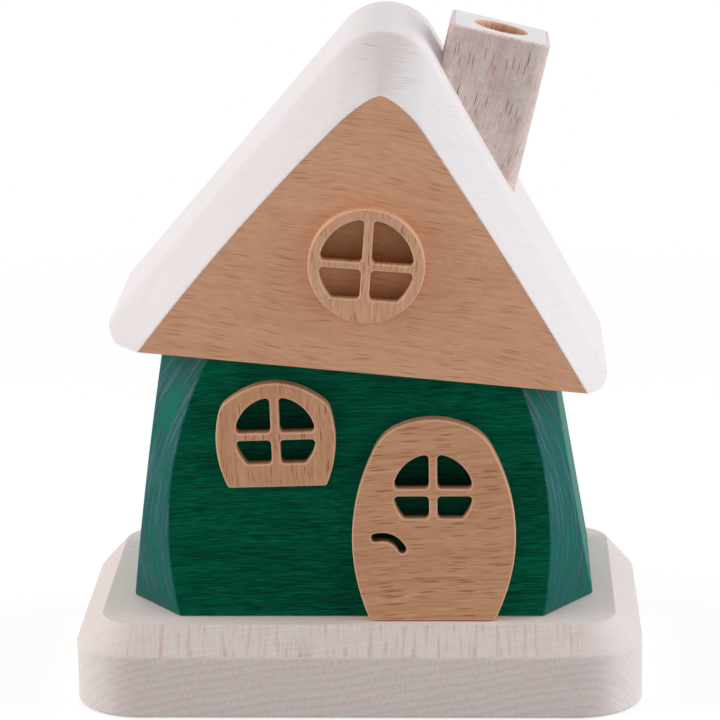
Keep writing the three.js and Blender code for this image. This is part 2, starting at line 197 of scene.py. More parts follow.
def outline(corners: Sequence[Corner], edge_steps: int = 20, corner_steps: int = 6) -> Loop:
    """Draws a closed outline from its corners, which run anticlockwise.

    Args:
        corners: The corners, with their rounding and the swelling of the edges after them.
        edge_steps: The steps along a swelling edge.
        corner_steps: The steps round a corner.

    Returns:
        The points of the outline.
    """
    dense: list[tuple[Vector, float]] = []
    for corner, following in zip(corners, [*corners[1:], corners[0]]):
        start = Vector((corner.x, corner.y))
        dense.append((start, corner.radius))
        if corner.bulge:
            edge = swell(start, Vector((following.x, following.y)), corner.bulge, edge_steps)
            dense.extend((point, 0.0) for point in edge)
    count = len(dense)
    kept = set(range(count))

    def neighbour(i: int, step: int) -> Vector:
        """The nearest kept point before or after a corner."""
        i = (i + step) % count
        return dense[i][0] if i in kept else neighbour(i, step)

    for i, (spot, radius) in enumerate(dense):
        half = (dense[i - 1][0] - spot).angle(dense[(i + 1) % count][0] - spot) / 2
        reach = FILLET_ROOM * radius / tan(half)
        for step in (-1, 1):
            near = (i + step) % count
            while radius and not dense[near][1] and (dense[near][0] - spot).length < reach:
                kept.discard(near)
                near = (near + step) % count
    loop: Loop = []
    for i in sorted(kept):
        spot, radius = dense[i]
        rounded = radius and fillet(neighbour(i, -1), spot, neighbour(i, 1), radius, corner_steps)
        loop.extend(rounded or [spot])
    return loop


def inset(loop: Loop, distance: float) -> Loop:
    """Moves an anticlockwise outline inwards, or outwards by a negative distance.

    Args:
        loop: The outline's points.
        distance: How far each edge moves.

    Returns:
        As many points as the outline has.
    """
    moved = []
    for i, point in enumerate(loop):
        into = (point - loop[i - 1]).normalized()
        out = (loop[(i + 1) % len(loop)] - point).normalized()
        square = Vector((-into.y - out.y, into.x + out.x)).normalized()
        facing = max(LEAST_FACING, square.dot(Vector((-out.y, out.x))))
        moved.append(point + square * (distance / facing))
    return moved


def circle(radius: float, steps: int, x: float = 0.0, y: float = 0.0) -> Loop:
    """An anticlockwise circle of that many points round (x, y)."""
    turns = [tau * i / steps for i in range(steps)]
    return [Vector((x + radius * cos(a), y + radius * sin(a))) for a in turns]


def quarter_round(ease: float, steps: int = 5) -> list[Triple]:
    """Steps over a rounded arris: how far in and down each one lies, and how much it sticks out."""
    turns = [pi / 2 * i / steps for i in range(steps + 1)]
    return [(ease * (1 - cos(a)), ease * (1 - sin(a)), max(0.0, sin(2 * a))) for a in turns]


def rounded_rectangle(width: float, depth: float, radius: float, steps: int) -> Loop:
    """Draws an anticlockwise rectangle with rounded corners, centred on the origin.

    Args:
        width: Its size across.
        depth: Its size in depth.
        radius: The rounding of its corners.
        steps: The steps round a corner.

    Returns:
        Its outline.
    """
    x, y = width / 2, depth / 2
    spots = [(-x, -y), (x, -y), (x, y), (-x, y)]
    return outline([Corner(*spot, radius=radius) for spot in spots], corner_steps=steps)


def standing(loop: Loop, depth: float) -> Loop:
    """A plane outline stood upright at a depth along Y."""
    return [Vector((p.x, depth, p.y)) for p in loop]


def lying(loop: Loop, height: float) -> Loop:
    """A plane outline laid flat at a height."""
    return [Vector((p.x, p.y, height)) for p in loop]


# Meshes


class Skin:
    """A mesh under way: points in millimetres, faces, and the finish that each face shows."""

    def __init__(self) -> None:
        """Starts with nothing."""
        self.points: Loop = []
        self.wear_and_highlight: list[float] = []
        self.faces: list[tuple[list[int], int]] = []

    def ring(self, points: Loop, wear_and_highlight: float = 0.0) -> list[int]:
        """Adds points.

        Args:
            points: The points, in millimetres.
            wear_and_highlight: How much the arris on them wears, with its painted highlight, from 0 to 1.

        Returns:
            Their numbers.
        """
        first = len(self.points)
        self.points.extend(points)
        self.wear_and_highlight.extend([wear_and_highlight] * len(points))
        return list(range(first, len(self.points)))

    def wall(self, low: list[int], high: list[int], finish: int = 0) -> None:
        """Joins two rings of as many points by a band of faces with one finish."""
        for i, _ in enumerate(low):
            self.faces.append(([low[i - 1], low[i], high[i], high[i - 1]], finish))

    def stack(self, rings: Sequence[Loop], finish: int = 0,
              wear_and_highlight: Sequence[float] = ()) -> list[list[int]]:
        """Adds rings and joins each one to the next.

        Args:
            rings: The rings, with as many points each.
            finish: The finish of the bands.
            wear_and_highlight: The wear and the painted highlight of each ring's arris, or nothing for
                none.

        Returns:
            The numbers of each ring's points.
        """
        wear = list(wear_and_highlight) or [0.0] * len(rings)
        numbered = [self.ring(points, amount) for points, amount in zip(rings, wear)]
        for low, high in zip(numbered, numbered[1:]):
            self.wall(low, high, finish)
        return numbered

    def lid(self, *rims: list[int], finish: int = 0) -> None:
        """Closes a flat face inside the first rim and outside the others.

        Args:
            rims: The outer rim, then the rims of the holes.
            finish: The face's finish.
        """
        numbers = [i for rim in rims for i in rim]
        facing = normal(*(self.points[i] for i in rims[0]))
        dropped = max(range(3), key=lambda axis: abs(facing[axis]))
        flat = [Vector([c for axis, c in enumerate(self.points[i]) if axis != dropped]) for i in numbers]
        starts = [sum(len(rim) for rim in rims[:k]) for k, _ in enumerate(rims)]
        areas = [list(range(first, first + len(rim))) for first, rim in zip(starts, rims)]
        only_inside = 1
        _, _, triangles, origins, _, owners = delaunay_2d_cdt(flat, [], areas, only_inside, SAME_SPOT)
        for triangle, inside in zip(triangles, owners):
            if list(inside) == [0]:
                self.faces.append(([numbers[origins[i][0]] for i in triangle], finish))

    def cap(self, rings: Sequence[list[int]], finish: int = 0) -> None:
        """Closes the first and the last of the rings of a stack."""
        for end in (0, -1):
            self.lid(rings[end], finish=finish)

    def mesh(self, name: str, place: Matrix = Matrix.Identity(4)) -> Mesh:
        """Makes the mesh, in metres, with its faces turned out.

        Args:
            name: The mesh's name.
            place: Where the millimetre frame of the points stands.

        Returns:
            The mesh, with an attribute that holds the wear and the painted highlight of its arrises.
        """
        made = bpy.data.meshes.new(name)
        made.from_pydata([place @ p.to_3d() * MM for p in self.points], [], [f for f, _ in self.faces])
        made.polygons.foreach_set("material_index", [finish for _, finish in self.faces])
        for _ in range(FINISHES):
            made.materials.append(None)
        made.attributes.new(ARRIS, "FLOAT", "POINT").data.foreach_set("value", self.wear_and_highlight)
        work = bmesh.new()
        work.from_mesh(made)
        bmesh.ops.recalc_face_normals(work, faces=work.faces)
        work.to_mesh(made)
        work.free()
        return made


def turned(name: str, profile: Sequence[Pair], steps: int, at: Pair = (0.0, 0.0), finish: int = 0,
           place: Matrix = Matrix.Identity(4)) -> Mesh:
    """Turns a profile about an upright axis.

    Args:
        name: The mesh's name.
        profile: Points of (radius, height). It ends on the axis or where it started.
        steps: The number of steps round.
        at: The axis's place across and in depth.
        finish: The finish of the turned face.
        place: Where the frame of the profile stands.

    Returns:
        The mesh.
    """
    closed = profile[0] == profile[-1]
    skin = Skin()
    rings = [skin.ring(lying(circle(radius, steps, *at) if radius else [Vector(at)], height))
             for radius, height in (profile[:-1] if closed else profile)]
    for low, high in zip(rings, [*rings[1:], rings[0]] if closed else rings[1:]):
        if len(low) == len(high):
            skin.wall(low, high, finish)
            continue
        tip, rim = (low[0], high) if len(low) == 1 else (high[0], low)
        skin.faces.extend(([tip, rim[i - 1], rim[i]], finish) for i in range(len(rim)))
    return skin.mesh(name, place)


def add_object(mesh: Mesh) -> Piece:
    """Puts a mesh into the scene.

    Args:
        mesh: The mesh.

    Returns:
        An object of the same name that shows it.
    """
    made = bpy.data.objects.new(mesh.name, mesh)
    bpy.context.scene.collection.objects.link(made)
    return made


def settle(target: Piece) -> None:
    """Applies what a piece's modifiers do to its mesh.

    Args:
        target: The piece.
    """
    graph = bpy.context.evaluated_depsgraph_get()
    graph.update()
    worked = bpy.data.meshes.new_from_object(target.evaluated_get(graph))
    worked.name = target.name
    target.modifiers.clear()
    target.data = worked


def bore(target: Piece, cutters: Sequence[Mesh]) -> None:
    """Cuts solids out of a piece and takes them away again.

    Args:
        target: The piece.
        cutters: The solids. Their faces' finish is that of the walls that they leave.
    """
    helpers = [add_object(mesh) for mesh in cutters]
    for helper in helpers:
        cut = target.modifiers.new("bore", "BOOLEAN")
        cut.operation, cut.solver, cut.object = "DIFFERENCE", "EXACT", helper
    settle(target)
    for helper in helpers:
        bpy.data.objects.remove(helper)


def bevel_edges(mesh: Mesh, chosen: Any, width: float, steps: int = 3) -> None:
    """Rounds some edges of a mesh.

    Args:
        mesh: The mesh.
        chosen: Says for an edge of it whether it is rounded.
        width: The width of the rounding, in millimetres.
        steps: The number of steps across it.
    """
    work = bmesh.new()
    work.from_mesh(mesh)
    edges = [edge for edge in work.edges if chosen(edge)]
    bmesh.ops.bevel(work, geom=edges, offset=width * MM, offset_type="OFFSET", segments=steps,
                    profile=0.5, affect="EDGES", clamp_overlap=True)
    work.to_mesh(mesh)
    work.free()


def seat(piece: Piece, finishes: Sequence[Material], body: Body, slot: Slot, node: str,
         crease: float = 40.0) -> None:
    """Finishes a piece and sets it in place of the plain solid that it stands for.

    Args:
        piece: The piece, already where it belongs.
        finishes: Its finishes, in the order that its faces number them.
        body: What it moves with.
        slot: The material slot of its main finish; not used.
        node: The solid that it stands for.
        crease: The angle, in degrees, from which an edge stays sharp.
    """
    for number, finish in enumerate(finishes):
        piece.data.materials[number] = finish
    while len(piece.data.materials) > len(finishes):
        piece.data.materials.pop()
    piece.data.shade_smooth()
    piece.data.set_sharp_from_angle(angle=radians(crease))
    weighted = piece.modifiers.new("even_light", "WEIGHTED_NORMAL")
    weighted.keep_sharp = True
    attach(piece, body.value)
    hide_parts(node)
    LOG.info("%s: %d faces", piece.name, len(piece.data.polygons))


# Shaders


class Socket:
    """One output of a shader node. Arithmetic on it adds Math nodes to the same tree."""

    def __init__(self, bench: "Bench", link: bpy.types.NodeSocket) -> None:
        """Wraps an output of a node on a bench."""
        self.bench = bench
        self.link = link

    def maths(self, operation: str, *terms: "Term") -> "Socket":
        """The result of a Math node that the values or sockets go into in order."""
        return self.bench.node("ShaderNodeMath", {"operation": operation}, dict(enumerate(terms)))

    def __add__(self, other: "Term") -> "Socket":
        """The sum of this and another."""
        return self.maths("ADD", self, other)

    def __sub__(self, other: "Term") -> "Socket":
        """This less another."""
        return self.maths("SUBTRACT", self, other)

    def __rsub__(self, other: "Term") -> "Socket":
        """Another less this."""
        return self.maths("SUBTRACT", other, self)

    def __mul__(self, other: "Term") -> "Socket":
        """The product of this and another."""
        return self.maths("MULTIPLY", self, other)

    def __truediv__(self, other: "Term") -> "Socket":
        """This over another."""
        return self.maths("DIVIDE", self, other)

    def __pow__(self, other: "Term") -> "Socket":
        """This to the power of another."""
        return self.maths("POWER", self, other)

    def __abs__(self) -> "Socket":
        """This without its sign."""
        return self.maths("ABSOLUTE", self)

    __radd__ = __add__
    __rmul__ = __mul__

    def sibling(self, output: str) -> "Socket":
        """Another output of the same node."""
        return Socket(self.bench, self.link.node.outputs[output])

    def root(self) -> "Socket":
        """The square root."""
        return self.maths("SQRT", self)

    def fraction(self) -> "Socket":
        """What is left above the whole number below."""
        return self.maths("FRACT", self)

    def most(self, other: "Term") -> "Socket":
        """The greater of this and another."""
        return self.maths("MAXIMUM", self, other)

    def rise(self, low: float, high: float) -> "Socket":
        """A mask that climbs smoothly from 0 where this is low to 1 where it is high."""
        return self.bench.node("ShaderNodeMapRange", {"interpolation_type": "SMOOTHSTEP"},
                               {"Value": self, "From Min": low, "From Max": high})

    def fall(self, low: float, high: float) -> "Socket":
        """A mask that drops smoothly from 1 where this is low to 0 where it is high."""
        return 1 - self.rise(low, high)


Term = Union[Socket, float]
Paint = Union[Socket, Colour]


class Bench:
    """A material's node tree, and the ways of adding to it."""

    def __init__(self, tree: bpy.types.NodeTree) -> None:
        """Clears the tree."""
        self.tree = tree
        tree.nodes.clear()

    @staticmethod
    def _find(sockets: Any, key: Union[int, str]) -> bpy.types.NodeSocket:
        """Finds a socket.

        Args:
            sockets: The inputs or the outputs of a node.
            key: The socket's number, identifier or name.

        Returns:
            The socket.
        """
        if isinstance(key, int):
            return sockets[key]
        return next((s for s in sockets if s.identifier == key), None) or sockets[key]

    def node(self, kind: str, settings: Optional[Mapping[str, Any]] = None,
             values: Optional[Mapping[Union[int, str], Any]] = None,
             output: Union[int, str] = 0) -> Socket:
        """Adds any node.

        Args:
            kind: The node's type.
            settings: Its settings, which are set first; stops are a ramp's places and colours.
            values: The values or links of its sockets.
            output: The output that is wanted.

        Returns:
            That output.
        """
        made = self.tree.nodes.new(kind)
        for name, setting in (settings or {}).items():
            if name == "stops":
                self._set_stops(made.color_ramp, setting)
            else:
                setattr(made, name, setting)
        for key, value in (values or {}).items():
            socket = self._find(made.inputs, key)
            if isinstance(value, Socket):
                self.tree.links.new(value.link, socket)
            else:
                socket.default_value = value
        return Socket(self, self._find(made.outputs, output))

    @staticmethod
    def _set_stops(ramp: bpy.types.ColorRamp, stops: Sequence[tuple[float, Colour]]) -> None:
        """Gives a colour ramp its stops.

        Args:
            ramp: The ramp.
            stops: The place and the colour of each stop.
        """
        while len(ramp.elements) < len(stops):
            ramp.elements.new(1.0)
        for element, (place, colour) in zip(ramp.elements, stops):
            element.position, element.color = place, colour

    def vector(self, operation: str, *terms: Any) -> Socket:
        """Adds a Vector Math node.

        Args:
            operation: The node's operation.
            terms: The vectors that go in, or a vector and a factor for SCALE.

        Returns:
            The vector that it gives.
        """
        values = dict(enumerate(terms))
        if operation == "SCALE":
            values = {0: terms[0], "Scale": terms[1]}
        return self.node("ShaderNodeVectorMath", {"operation": operation}, values)

    def dot(self, one: Any, other: Any) -> Socket:
        """How far one vector reaches along another."""
        settings = {"operation": "DOT_PRODUCT"}
        return self.node("ShaderNodeVectorMath", settings, {0: one, 1: other}, "Value")

    def spot(self, x: Term, y: Term, z: Term) -> Socket:
        """A vector from three values."""
        return self.node("ShaderNodeCombineXYZ", None, {"X": x, "Y": y, "Z": z})

    def noise(self, spot: Socket, scale: float, detail: float = 2.0, output: str = "Fac",
              roughness: float = 0.5) -> Socket:
        """Smooth noise at a spot, round 0.5."""
        values = {"Vector": spot, "Scale": scale, "Detail": detail, "Roughness": roughness}
        return self.node("ShaderNodeTexNoise", None, values, output)

    def ramp(self, value: Socket, *stops: tuple[float, Colour]) -> Socket:
        """The colour of a value between the stops."""
        return self.node("ShaderNodeValToRGB", {"stops": stops}, {"Fac": value}, "Color")

    def blend(self, share: Term, base: Paint, over: Paint, mode: str = "MIX") -> Socket:
        """Lays one colour over another.

        Args:
            share: How much of it shows, from 0 to 1.
            base: The colour below.
            over: The colour on top.
            mode: How they blend.

        Returns:
            The mixed colour.
        """
        settings = {"data_type": "RGBA", "blend_type": mode, "clamp_factor": True}
        values = {"Factor_Float": share, "A_Color": base, "B_Color": over}
        return self.node("ShaderNodeMix", settings, values, "Result_Color")

    def layers(self, colour: Socket, *layers: tuple[Term, Paint]) -> Socket:
        """Lays colours over another one in turn.

        Args:
            colour: The colour below.
            layers: How much of each colour shows, from 0 to 1, and the colour.

        Returns:
            The mixed colour.
        """
        for share, over in layers:
            colour = self.blend(share, colour, over)
        return colour

    def coordinate(self, kind: str) -> Socket:
        """Where the surface is, or which way it looks, in the frame of the object."""
        return self.node("ShaderNodeTexCoord", output=kind)

    def coat(self, values: Mapping[str, Any], height: Socket, depth: float) -> None:
        """Ends the tree in one plain shader.

        Args:
            values: The values or links of its sockets.
            height: The relief of the surface.
            depth: The relief's depth, in millimetres.
        """
        relief = {"Strength": 1.0, "Distance": depth * MM, "Height": height}
        bump = self.node("ShaderNodeBump", None, relief, "Normal")
        self.end(self.node("ShaderNodeBsdfPrincipled", None, {**values, "Normal": bump}))

    def end(self, shader: Socket, kind: str = "ShaderNodeOutputMaterial") -> None:
        """Links a shader to the tree's end."""
        end = self.tree.nodes.new(kind)
        self.tree.links.new(shader.link, end.inputs["Surface"])


def new_material(name: str) -> tuple[Material, Bench]:
    """Makes a material.

    Args:
        name: Its name.

    Returns:
        The material, and a bench to work on it.
    """
    made = bpy.data.materials.new(name)
    made.use_nodes = True
    return made, Bench(made.node_tree)


@dataclass(frozen=True)
class Grain:
    """How a piece was cut from the tree. Lengths are in millimetres."""

    middle: Triple  # A point inside the piece
    along: Triple  # The way that the fibres run
    outward: Triple  # The way from pith to bark
    heart: float = 90.0  # How far behind the middle the pith lay
    ring: float = 2.2  # The width of a year's ring
    wander: float = 3.0  # How far the rings stray from true circles
    ray_length: float = 8.0  # How far apart the rays lie along the fibres
    ray_gap: float = 0.5  # How far apart they lie across
    ray_core: float = 0.3  # The share of that room that the largest ray fills
    seed: float = 0.0  # Shifts the pattern, so that no two pieces match


class Timber:
    """What beech shows at a spot: its rings, rays and fibres, each as a mask from 0 to 1."""

    # The length and the width of the fibres, streaks and clouds in millimetres, and their detail
    FIBRE, STREAK, CLOUD = (4.5, 0.17, 2.0), (22.0, 0.7, 2.0), (70.0, 8.0, 1.0)
    LAYER = (0.55, 18.0, 14.0)  # The size of the patches on end grain: outward, aside and along
    STRAY_SIZE = 48.0  # The size of the waves in which the rings stray
    SPECK_SIZE = 2.6  # How many specks lie on a millimetre
    SEED_SHIFT, SEED_ASIDE = (13.7, 7.3, 29.1), 3.1  # How far a seed of 1 shifts pattern and rings

    def __init__(self, bench: Bench, grain: Grain) -> None:
        """Works out the masks.

        Args:
            bench: The material's bench.
            grain: How the piece was cut.
        """
        along = Vector(grain.along).normalized()
        aside = along.cross(Vector(grain.outward)).normalized()
        outward = aside.cross(along)
        self.point = bench.vector("SCALE", bench.coordinate("Object"), 1 / MM)
        self.bench = bench
        inside = bench.vector("SUBTRACT", self.point, grain.middle)
        shifted = bench.vector("ADD", inside, tuple(step * grain.seed for step in self.SEED_SHIFT))
        stray = bench.noise(shifted, 1 / self.STRAY_SIZE, 2.0, "Color")
        stray_out, stray_side = (bench.dot(stray, axis) - 0.5 for axis in AXES[:2])
        run = bench.dot(shifted, along)
        deep = bench.dot(inside, outward) + stray_out * grain.wander + grain.heart
        side = bench.dot(inside, aside) + stray_side * grain.wander + self.SEED_ASIDE * grain.seed
        radius = (deep * deep + side * side).root()

        def strand(length: float, width: float, detail: float) -> Socket:
            """Noise drawn out along the fibres."""
            return bench.noise(bench.spot(run / length, radius / width, side / width), 1.0, detail)

        strands = (self.FIBRE, self.STREAK, self.CLOUD)
        self.fibre, self.streak, self.cloud = (strand(*size) for size in strands)
        patch = bench.spot(*(way / size for way, size in zip((radius, side, run), self.LAYER)))
        self.layer = bench.noise(patch, 1.0, 2.0)
        self.speck = bench.noise(shifted, self.SPECK_SIZE, 1.0)
        year = (radius / grain.ring + self.cloud * 0.9).fraction()
        self.late = year.rise(0.3, 0.86) * year.fall(0.9, 1.0)
        values = {"Vector": bench.spot(run / grain.ray_length, side / grain.ray_gap, 0), "Scale": 1.0}
        cells = bench.node("ShaderNodeTexVoronoi", {"voronoi_dimensions": "2D"}, values, "Distance")
        pick = bench.dot(cells.sibling("Color"), AXES[0])
        near = (cells + (self.fibre - 0.5) * 0.12) / (0.35 + pick * 0.65)
        ray = near.fall(grain.ray_core * 0.5, grain.ray_core) * (0.2 + pick ** 2 * 0.8)
        facing = bench.coordinate("Normal")
        self.end_grain = abs(bench.dot(facing, along))
        self.ray = ray * (1 - abs(bench.dot(facing, aside)).rise(0.35, 0.85) * 0.9)
        self.rise_of_face = bench.dot(facing, UP)
        level = bench.vector("NORMALIZE", bench.vector("CROSS_PRODUCT", facing, UP))
        self.travel = bench.dot(self.point, level)

    @property
    def height(self) -> Socket:
        """The height above the origin, in millimetres."""
        return self.bench.dot(self.point, UP)


def arris_mask(bench: Bench) -> Socket:
    """The wear and the painted highlight of the arrises, from the mesh."""
    return bench.node("ShaderNodeAttribute", {"attribute_name": ARRIS}, output="Fac")


@dataclass(frozen=True)
class Opening:
    """A round light cut through sheet, with a wall behind it. Lengths are in millimetres."""

    RIM_FADE = 1.0  # How softly the painted shade ends at the rim
    SILL_LINE = 0.15  # How far before the wall the painted shade on a sill is full
    WALL_FADE = (5.0, 10.0)  # How far into a bore in the wall the painted shade goes on, in full and at all

    frame: Matrix  # The frame that its middle is given in
    at: Pair  # Its middle, across and up
    radius: float
    wall: float  # The depth of the wall's face
    amount: float = 1.0  # How strong the painted shade is there, from 0 to 1
    reach: float = 2.0  # How far the painted shade reaches out on the sills

    def shade(self, bench: Bench, wood: Timber, on_sill: bool) -> Socket:
        """Works out where painted shade darkens what shows through the opening.

        Args:
            bench: The material's bench.
            wood: The wood of the wall or of the sheet.
            on_sill: Whether it is the sheet, with painted shade at the back of its sills, or the
            wall, with the painted shade darkest at the foot of each row of panes.

        Returns:
            A mask of the painted shade.
        """
        middle = self.frame @ Vector((self.at[0], 0, self.at[1]))
        across, deep, up = (bench.dot(wood.point, axis) for axis in AXES)
        x, z = across - middle.x, up - middle.z
        inside = (x * x + z * z).root().fall(self.radius, self.radius + self.RIM_FADE) * self.amount
        if on_sill:
            near_wall = deep.rise(self.wall - self.reach, self.wall - self.SILL_LINE)
            return inside * wood.rise_of_face.rise(0.4, 0.8) * near_wall
        on_wall = deep.fall(*(self.wall + depth for depth in self.WALL_FADE))
        return inside * on_wall * (1 - (z / self.radius).fraction() ** 1.4 * 0.9)


def shade_recesses(bench: Bench, colour: Socket, wood: Timber, openings: Sequence[Opening], recess_shade: Colour,
           on_sill: bool = False) -> Socket:
    """Darkens what shows through openings.

    Args:
        bench: The material's bench.
        colour: The clean colour.
        wood: The wood.
        openings: The openings.
        recess_shade: The tint of the painted shade.
        on_sill: Whether the painted shade lies on the sills of the openings and not on the wall behind.

    Returns:
        The colour with the painted shade.
    """
    for opening in openings:
        # Painted shade: darker towards the foot of each row of panes, and on the sills near the wall
        colour = bench.blend(opening.shade(bench, wood, on_sill), colour, recess_shade, "MULTIPLY")
    return colour


@dataclass(frozen=True)
class WoodFinish:
    """A finish on wood."""

    name: str
    roughness: float = 0.55
    gloss: float = 0.3  # How strongly it mirrors
    relief: float = 0.03  # How deep its relief is, in millimetres

    def surface(self, bench: Bench, wood: Timber) -> tuple[Socket, Socket, Socket]:
        """The colour, the roughness and the relief that it gives to that wood."""
        raise NotImplementedError

    def make(self, grain: Grain) -> Material:
        """Makes the finish.

        Args:
            grain: How the piece was cut.

        Returns:
            The material.
        """
        material, bench = new_material(self.name)
        colour, rough, height = self.surface(bench, Timber(bench, grain))
        values = {"Base Color": colour, "Roughness": rough, "Specular IOR Level": self.gloss}
        bench.coat(values, height, self.relief)
        return material


@dataclass(frozen=True)
class BareBeech(WoodFinish):
    """Sanded beech with nothing on it."""

    pale: Colour = paint(236, 186, 147)  # The lightest wood
    warm: Colour = paint(219, 160, 122)  # The wood between
    deep: Colour = paint(196, 122, 78)  # The darkest wood
    ray: Colour = paint(150, 58, 16)  # The flecks
    ray_depth: float = 0.95  # How strongly the flecks show
    edge: Colour = paint(244, 208, 178)  # The arrises, which catch the light
    roughness: float = 0.58
    gloss: float = 0.35
    openings: tuple[Opening, ...] = ()  # The lights that it lies behind, or whose sills it forms
    on_sill: bool = False  # Whether it forms the sills
    recess_shade: Colour = paint(153, 117, 66)  # The tint of the painted shade there

    def surface(self, bench: Bench, wood: Timber) -> tuple[Socket, Socket, Socket]:
        """Works out how the bare wood looks.

        Args:
            bench: The material's bench.
            wood: The wood.

        Returns:
            The colour, the roughness and the relief.
        """
        tone = wood.fibre * 0.62 + wood.streak * 0.4 + wood.cloud * 0.2 + wood.late * 0.06 - 0.06
        flecks = wood.ray * self.ray_depth
        colour = bench.layers(bench.ramp(tone, (0.22, self.pale), (0.47, self.warm), (0.8, self.deep)),
                              (wood.end_grain.rise(0.5, 0.95) * 0.12, self.deep),
                              (flecks, self.ray),
                              (arris_mask(bench) * 0.4, self.edge))
        # Painted shade in the openings that it lies behind, or on their sills
        colour = shade_recesses(bench, colour, wood, self.openings, self.recess_shade, self.on_sill)
        height = wood.fibre * 0.5 - flecks * 0.6 + wood.late * 0.2
        return colour, self.roughness + wood.fibre * 0.12 - wood.ray * 0.05, height


@dataclass(frozen=True)
class WhiteGlaze(WoodFinish):
    """Beech under a thin white glaze that lets the grain through."""

    glaze: Colour = paint(232, 224, 222)  # The colour of the glaze where it lies thick
    wood: Colour = paint(196, 160, 142)  # The wood that shows through
    ray: Colour = paint(176, 128, 112)  # The colour of the flecks under it
    cover: float = 0.8  # How much the glaze hides on long grain
    end_cover: float = 0.86  # How much it hides on end grain
    ray_show: float = 0.3  # How much of the flecks comes through
    late_show: float = 0.14  # How much of the rings comes through
    fibre_show: float = 0.3  # How much of the fibres and of the glaze's unevenness shows
    comb_show: float = 0.0  # How much of the cutter's marks shows on a bevel
    patch_show: float = 0.0  # How much the glaze varies in patches
    edge: Colour = paint(238, 226, 222)  # The colour of the arrises: glaze wear and a painted highlight
    edge_show: float = 0.3  # How much the arris colour of glaze wear and painted highlight shows
    chip_show: float = 0.0  # How much of the wood shows where the arrises are chipped
    sand_show: float = 0.0  # How much the upright marks of the sanding show
    crown_shade: float = 0.0  # How much painted shade darkens and reddens the bevels at the crown
    top: Optional[Colour] = None  # Painted light: the lighter colour of the glaze on what lies level
    end: Optional[Colour] = None  # The colour of the glaze on upright end grain

    def comb(self, bench: Bench, wood: Timber) -> Socket:
        """Works out the marks that the cutter left across a bevel.

        Args:
            bench: The material's bench.
            wood: The wood below.

        Returns:
            How far they rub the glaze thin.
        """
        broad = bench.noise(bench.spot(wood.travel / 1.2, wood.height / 9, 0), 1.0, 2.0).rise(0.47, 0.75)
        fine = bench.noise(bench.spot(wood.travel / 0.4, wood.height / 3, 0), 1.0, 1.0)
        return (broad + (fine - 0.5) * 0.8) * wood.end_grain.fall(0.05, 0.35)

    def thin_spots(self, bench: Bench, wood: Timber, cut: Socket) -> Socket:
        """Works out how much less the glaze hides here than on the average.

        Args:
            bench: The material's bench.
            wood: The wood below.
            cut: A mask of the end grain.

        Returns:
            A share, which is negative where the glaze hides more.
        """
        lines = wood.streak + (wood.layer - wood.streak) * cut
        uneven = wood.fibre * 0.4 + lines * (0.4 + cut * 0.25) + wood.speck * 0.35 - 0.575 - cut * 0.125
        bevel = wood.rise_of_face.rise(0.3, 0.5) * wood.rise_of_face.fall(0.86, 0.97)
        shows = wood.ray * (1 - cut * 0.8) * self.ray_show + uneven * self.fibre_show
        shows = shows + wood.late * (1 - bevel * 0.6) * (1 - cut * 0.6) * self.late_show
        if self.comb_show:
            shows = shows + self.comb(bench, wood) * bevel * self.comb_show
        if self.patch_show:
            patches = bench.noise(wood.point, 0.4, 4.0, roughness=0.7)
            shows = shows + (patches - 0.5) * self.patch_show
        if self.sand_show:
            marks = bench.noise(bench.spot(wood.travel / 0.32, wood.height / 2.0, 0), 1.0, 2.0)
            shows = shows + (marks - 0.5) * wood.rise_of_face.fall(0.3, 0.6) * self.sand_show
        # Painted shade on the bevels at the crown, where they run along the fibres
        if self.crown_shade:
            crown = wood.end_grain.fall(0.1, 0.55) * wood.rise_of_face.rise(0.5, 0.62)
            shows = shows + crown * wood.rise_of_face.fall(0.86, 0.93) * self.crown_shade
        return shows

    def surface(self, bench: Bench, wood: Timber) -> tuple[Socket, Socket, Socket]:
        """Works out how the glazed wood looks.

        Args:
            bench: The material's bench.
            wood: The wood below.

        Returns:
            The colour, the roughness and the relief.
        """
        hidden = self.cover + wood.end_grain.rise(0.2, 0.8) * (self.end_cover - self.cover)
        cut = wood.end_grain.rise(0.25, 0.6)
        glaze = self.glaze
        # Painted light: level faces get a lighter glaze
        if self.top is not None:
            glaze = bench.blend(wood.rise_of_face.rise(0.93, 0.99), glaze, self.top)
        if self.end is not None:
            glaze = bench.blend(cut * wood.rise_of_face.fall(0.2, 0.5), glaze, self.end)
        # The arrises get glaze wear and a painted highlight
        arris = arris_mask(bench)
        colour = bench.layers(bench.blend(wood.ray * 0.9, self.wood, self.ray),
                              (hidden - self.thin_spots(bench, wood, cut), glaze),
                              (arris * self.edge_show, self.edge))
        if self.chip_show:
            colour = bench.blend(arris * wood.speck.rise(0.52, 0.6) * self.chip_show, colour, self.wood)
        height = wood.fibre * 0.5 - wood.ray * 0.45 - wood.late * 0.2 + wood.speck * 0.3
        return colour, self.roughness + wood.fibre * 0.16, height


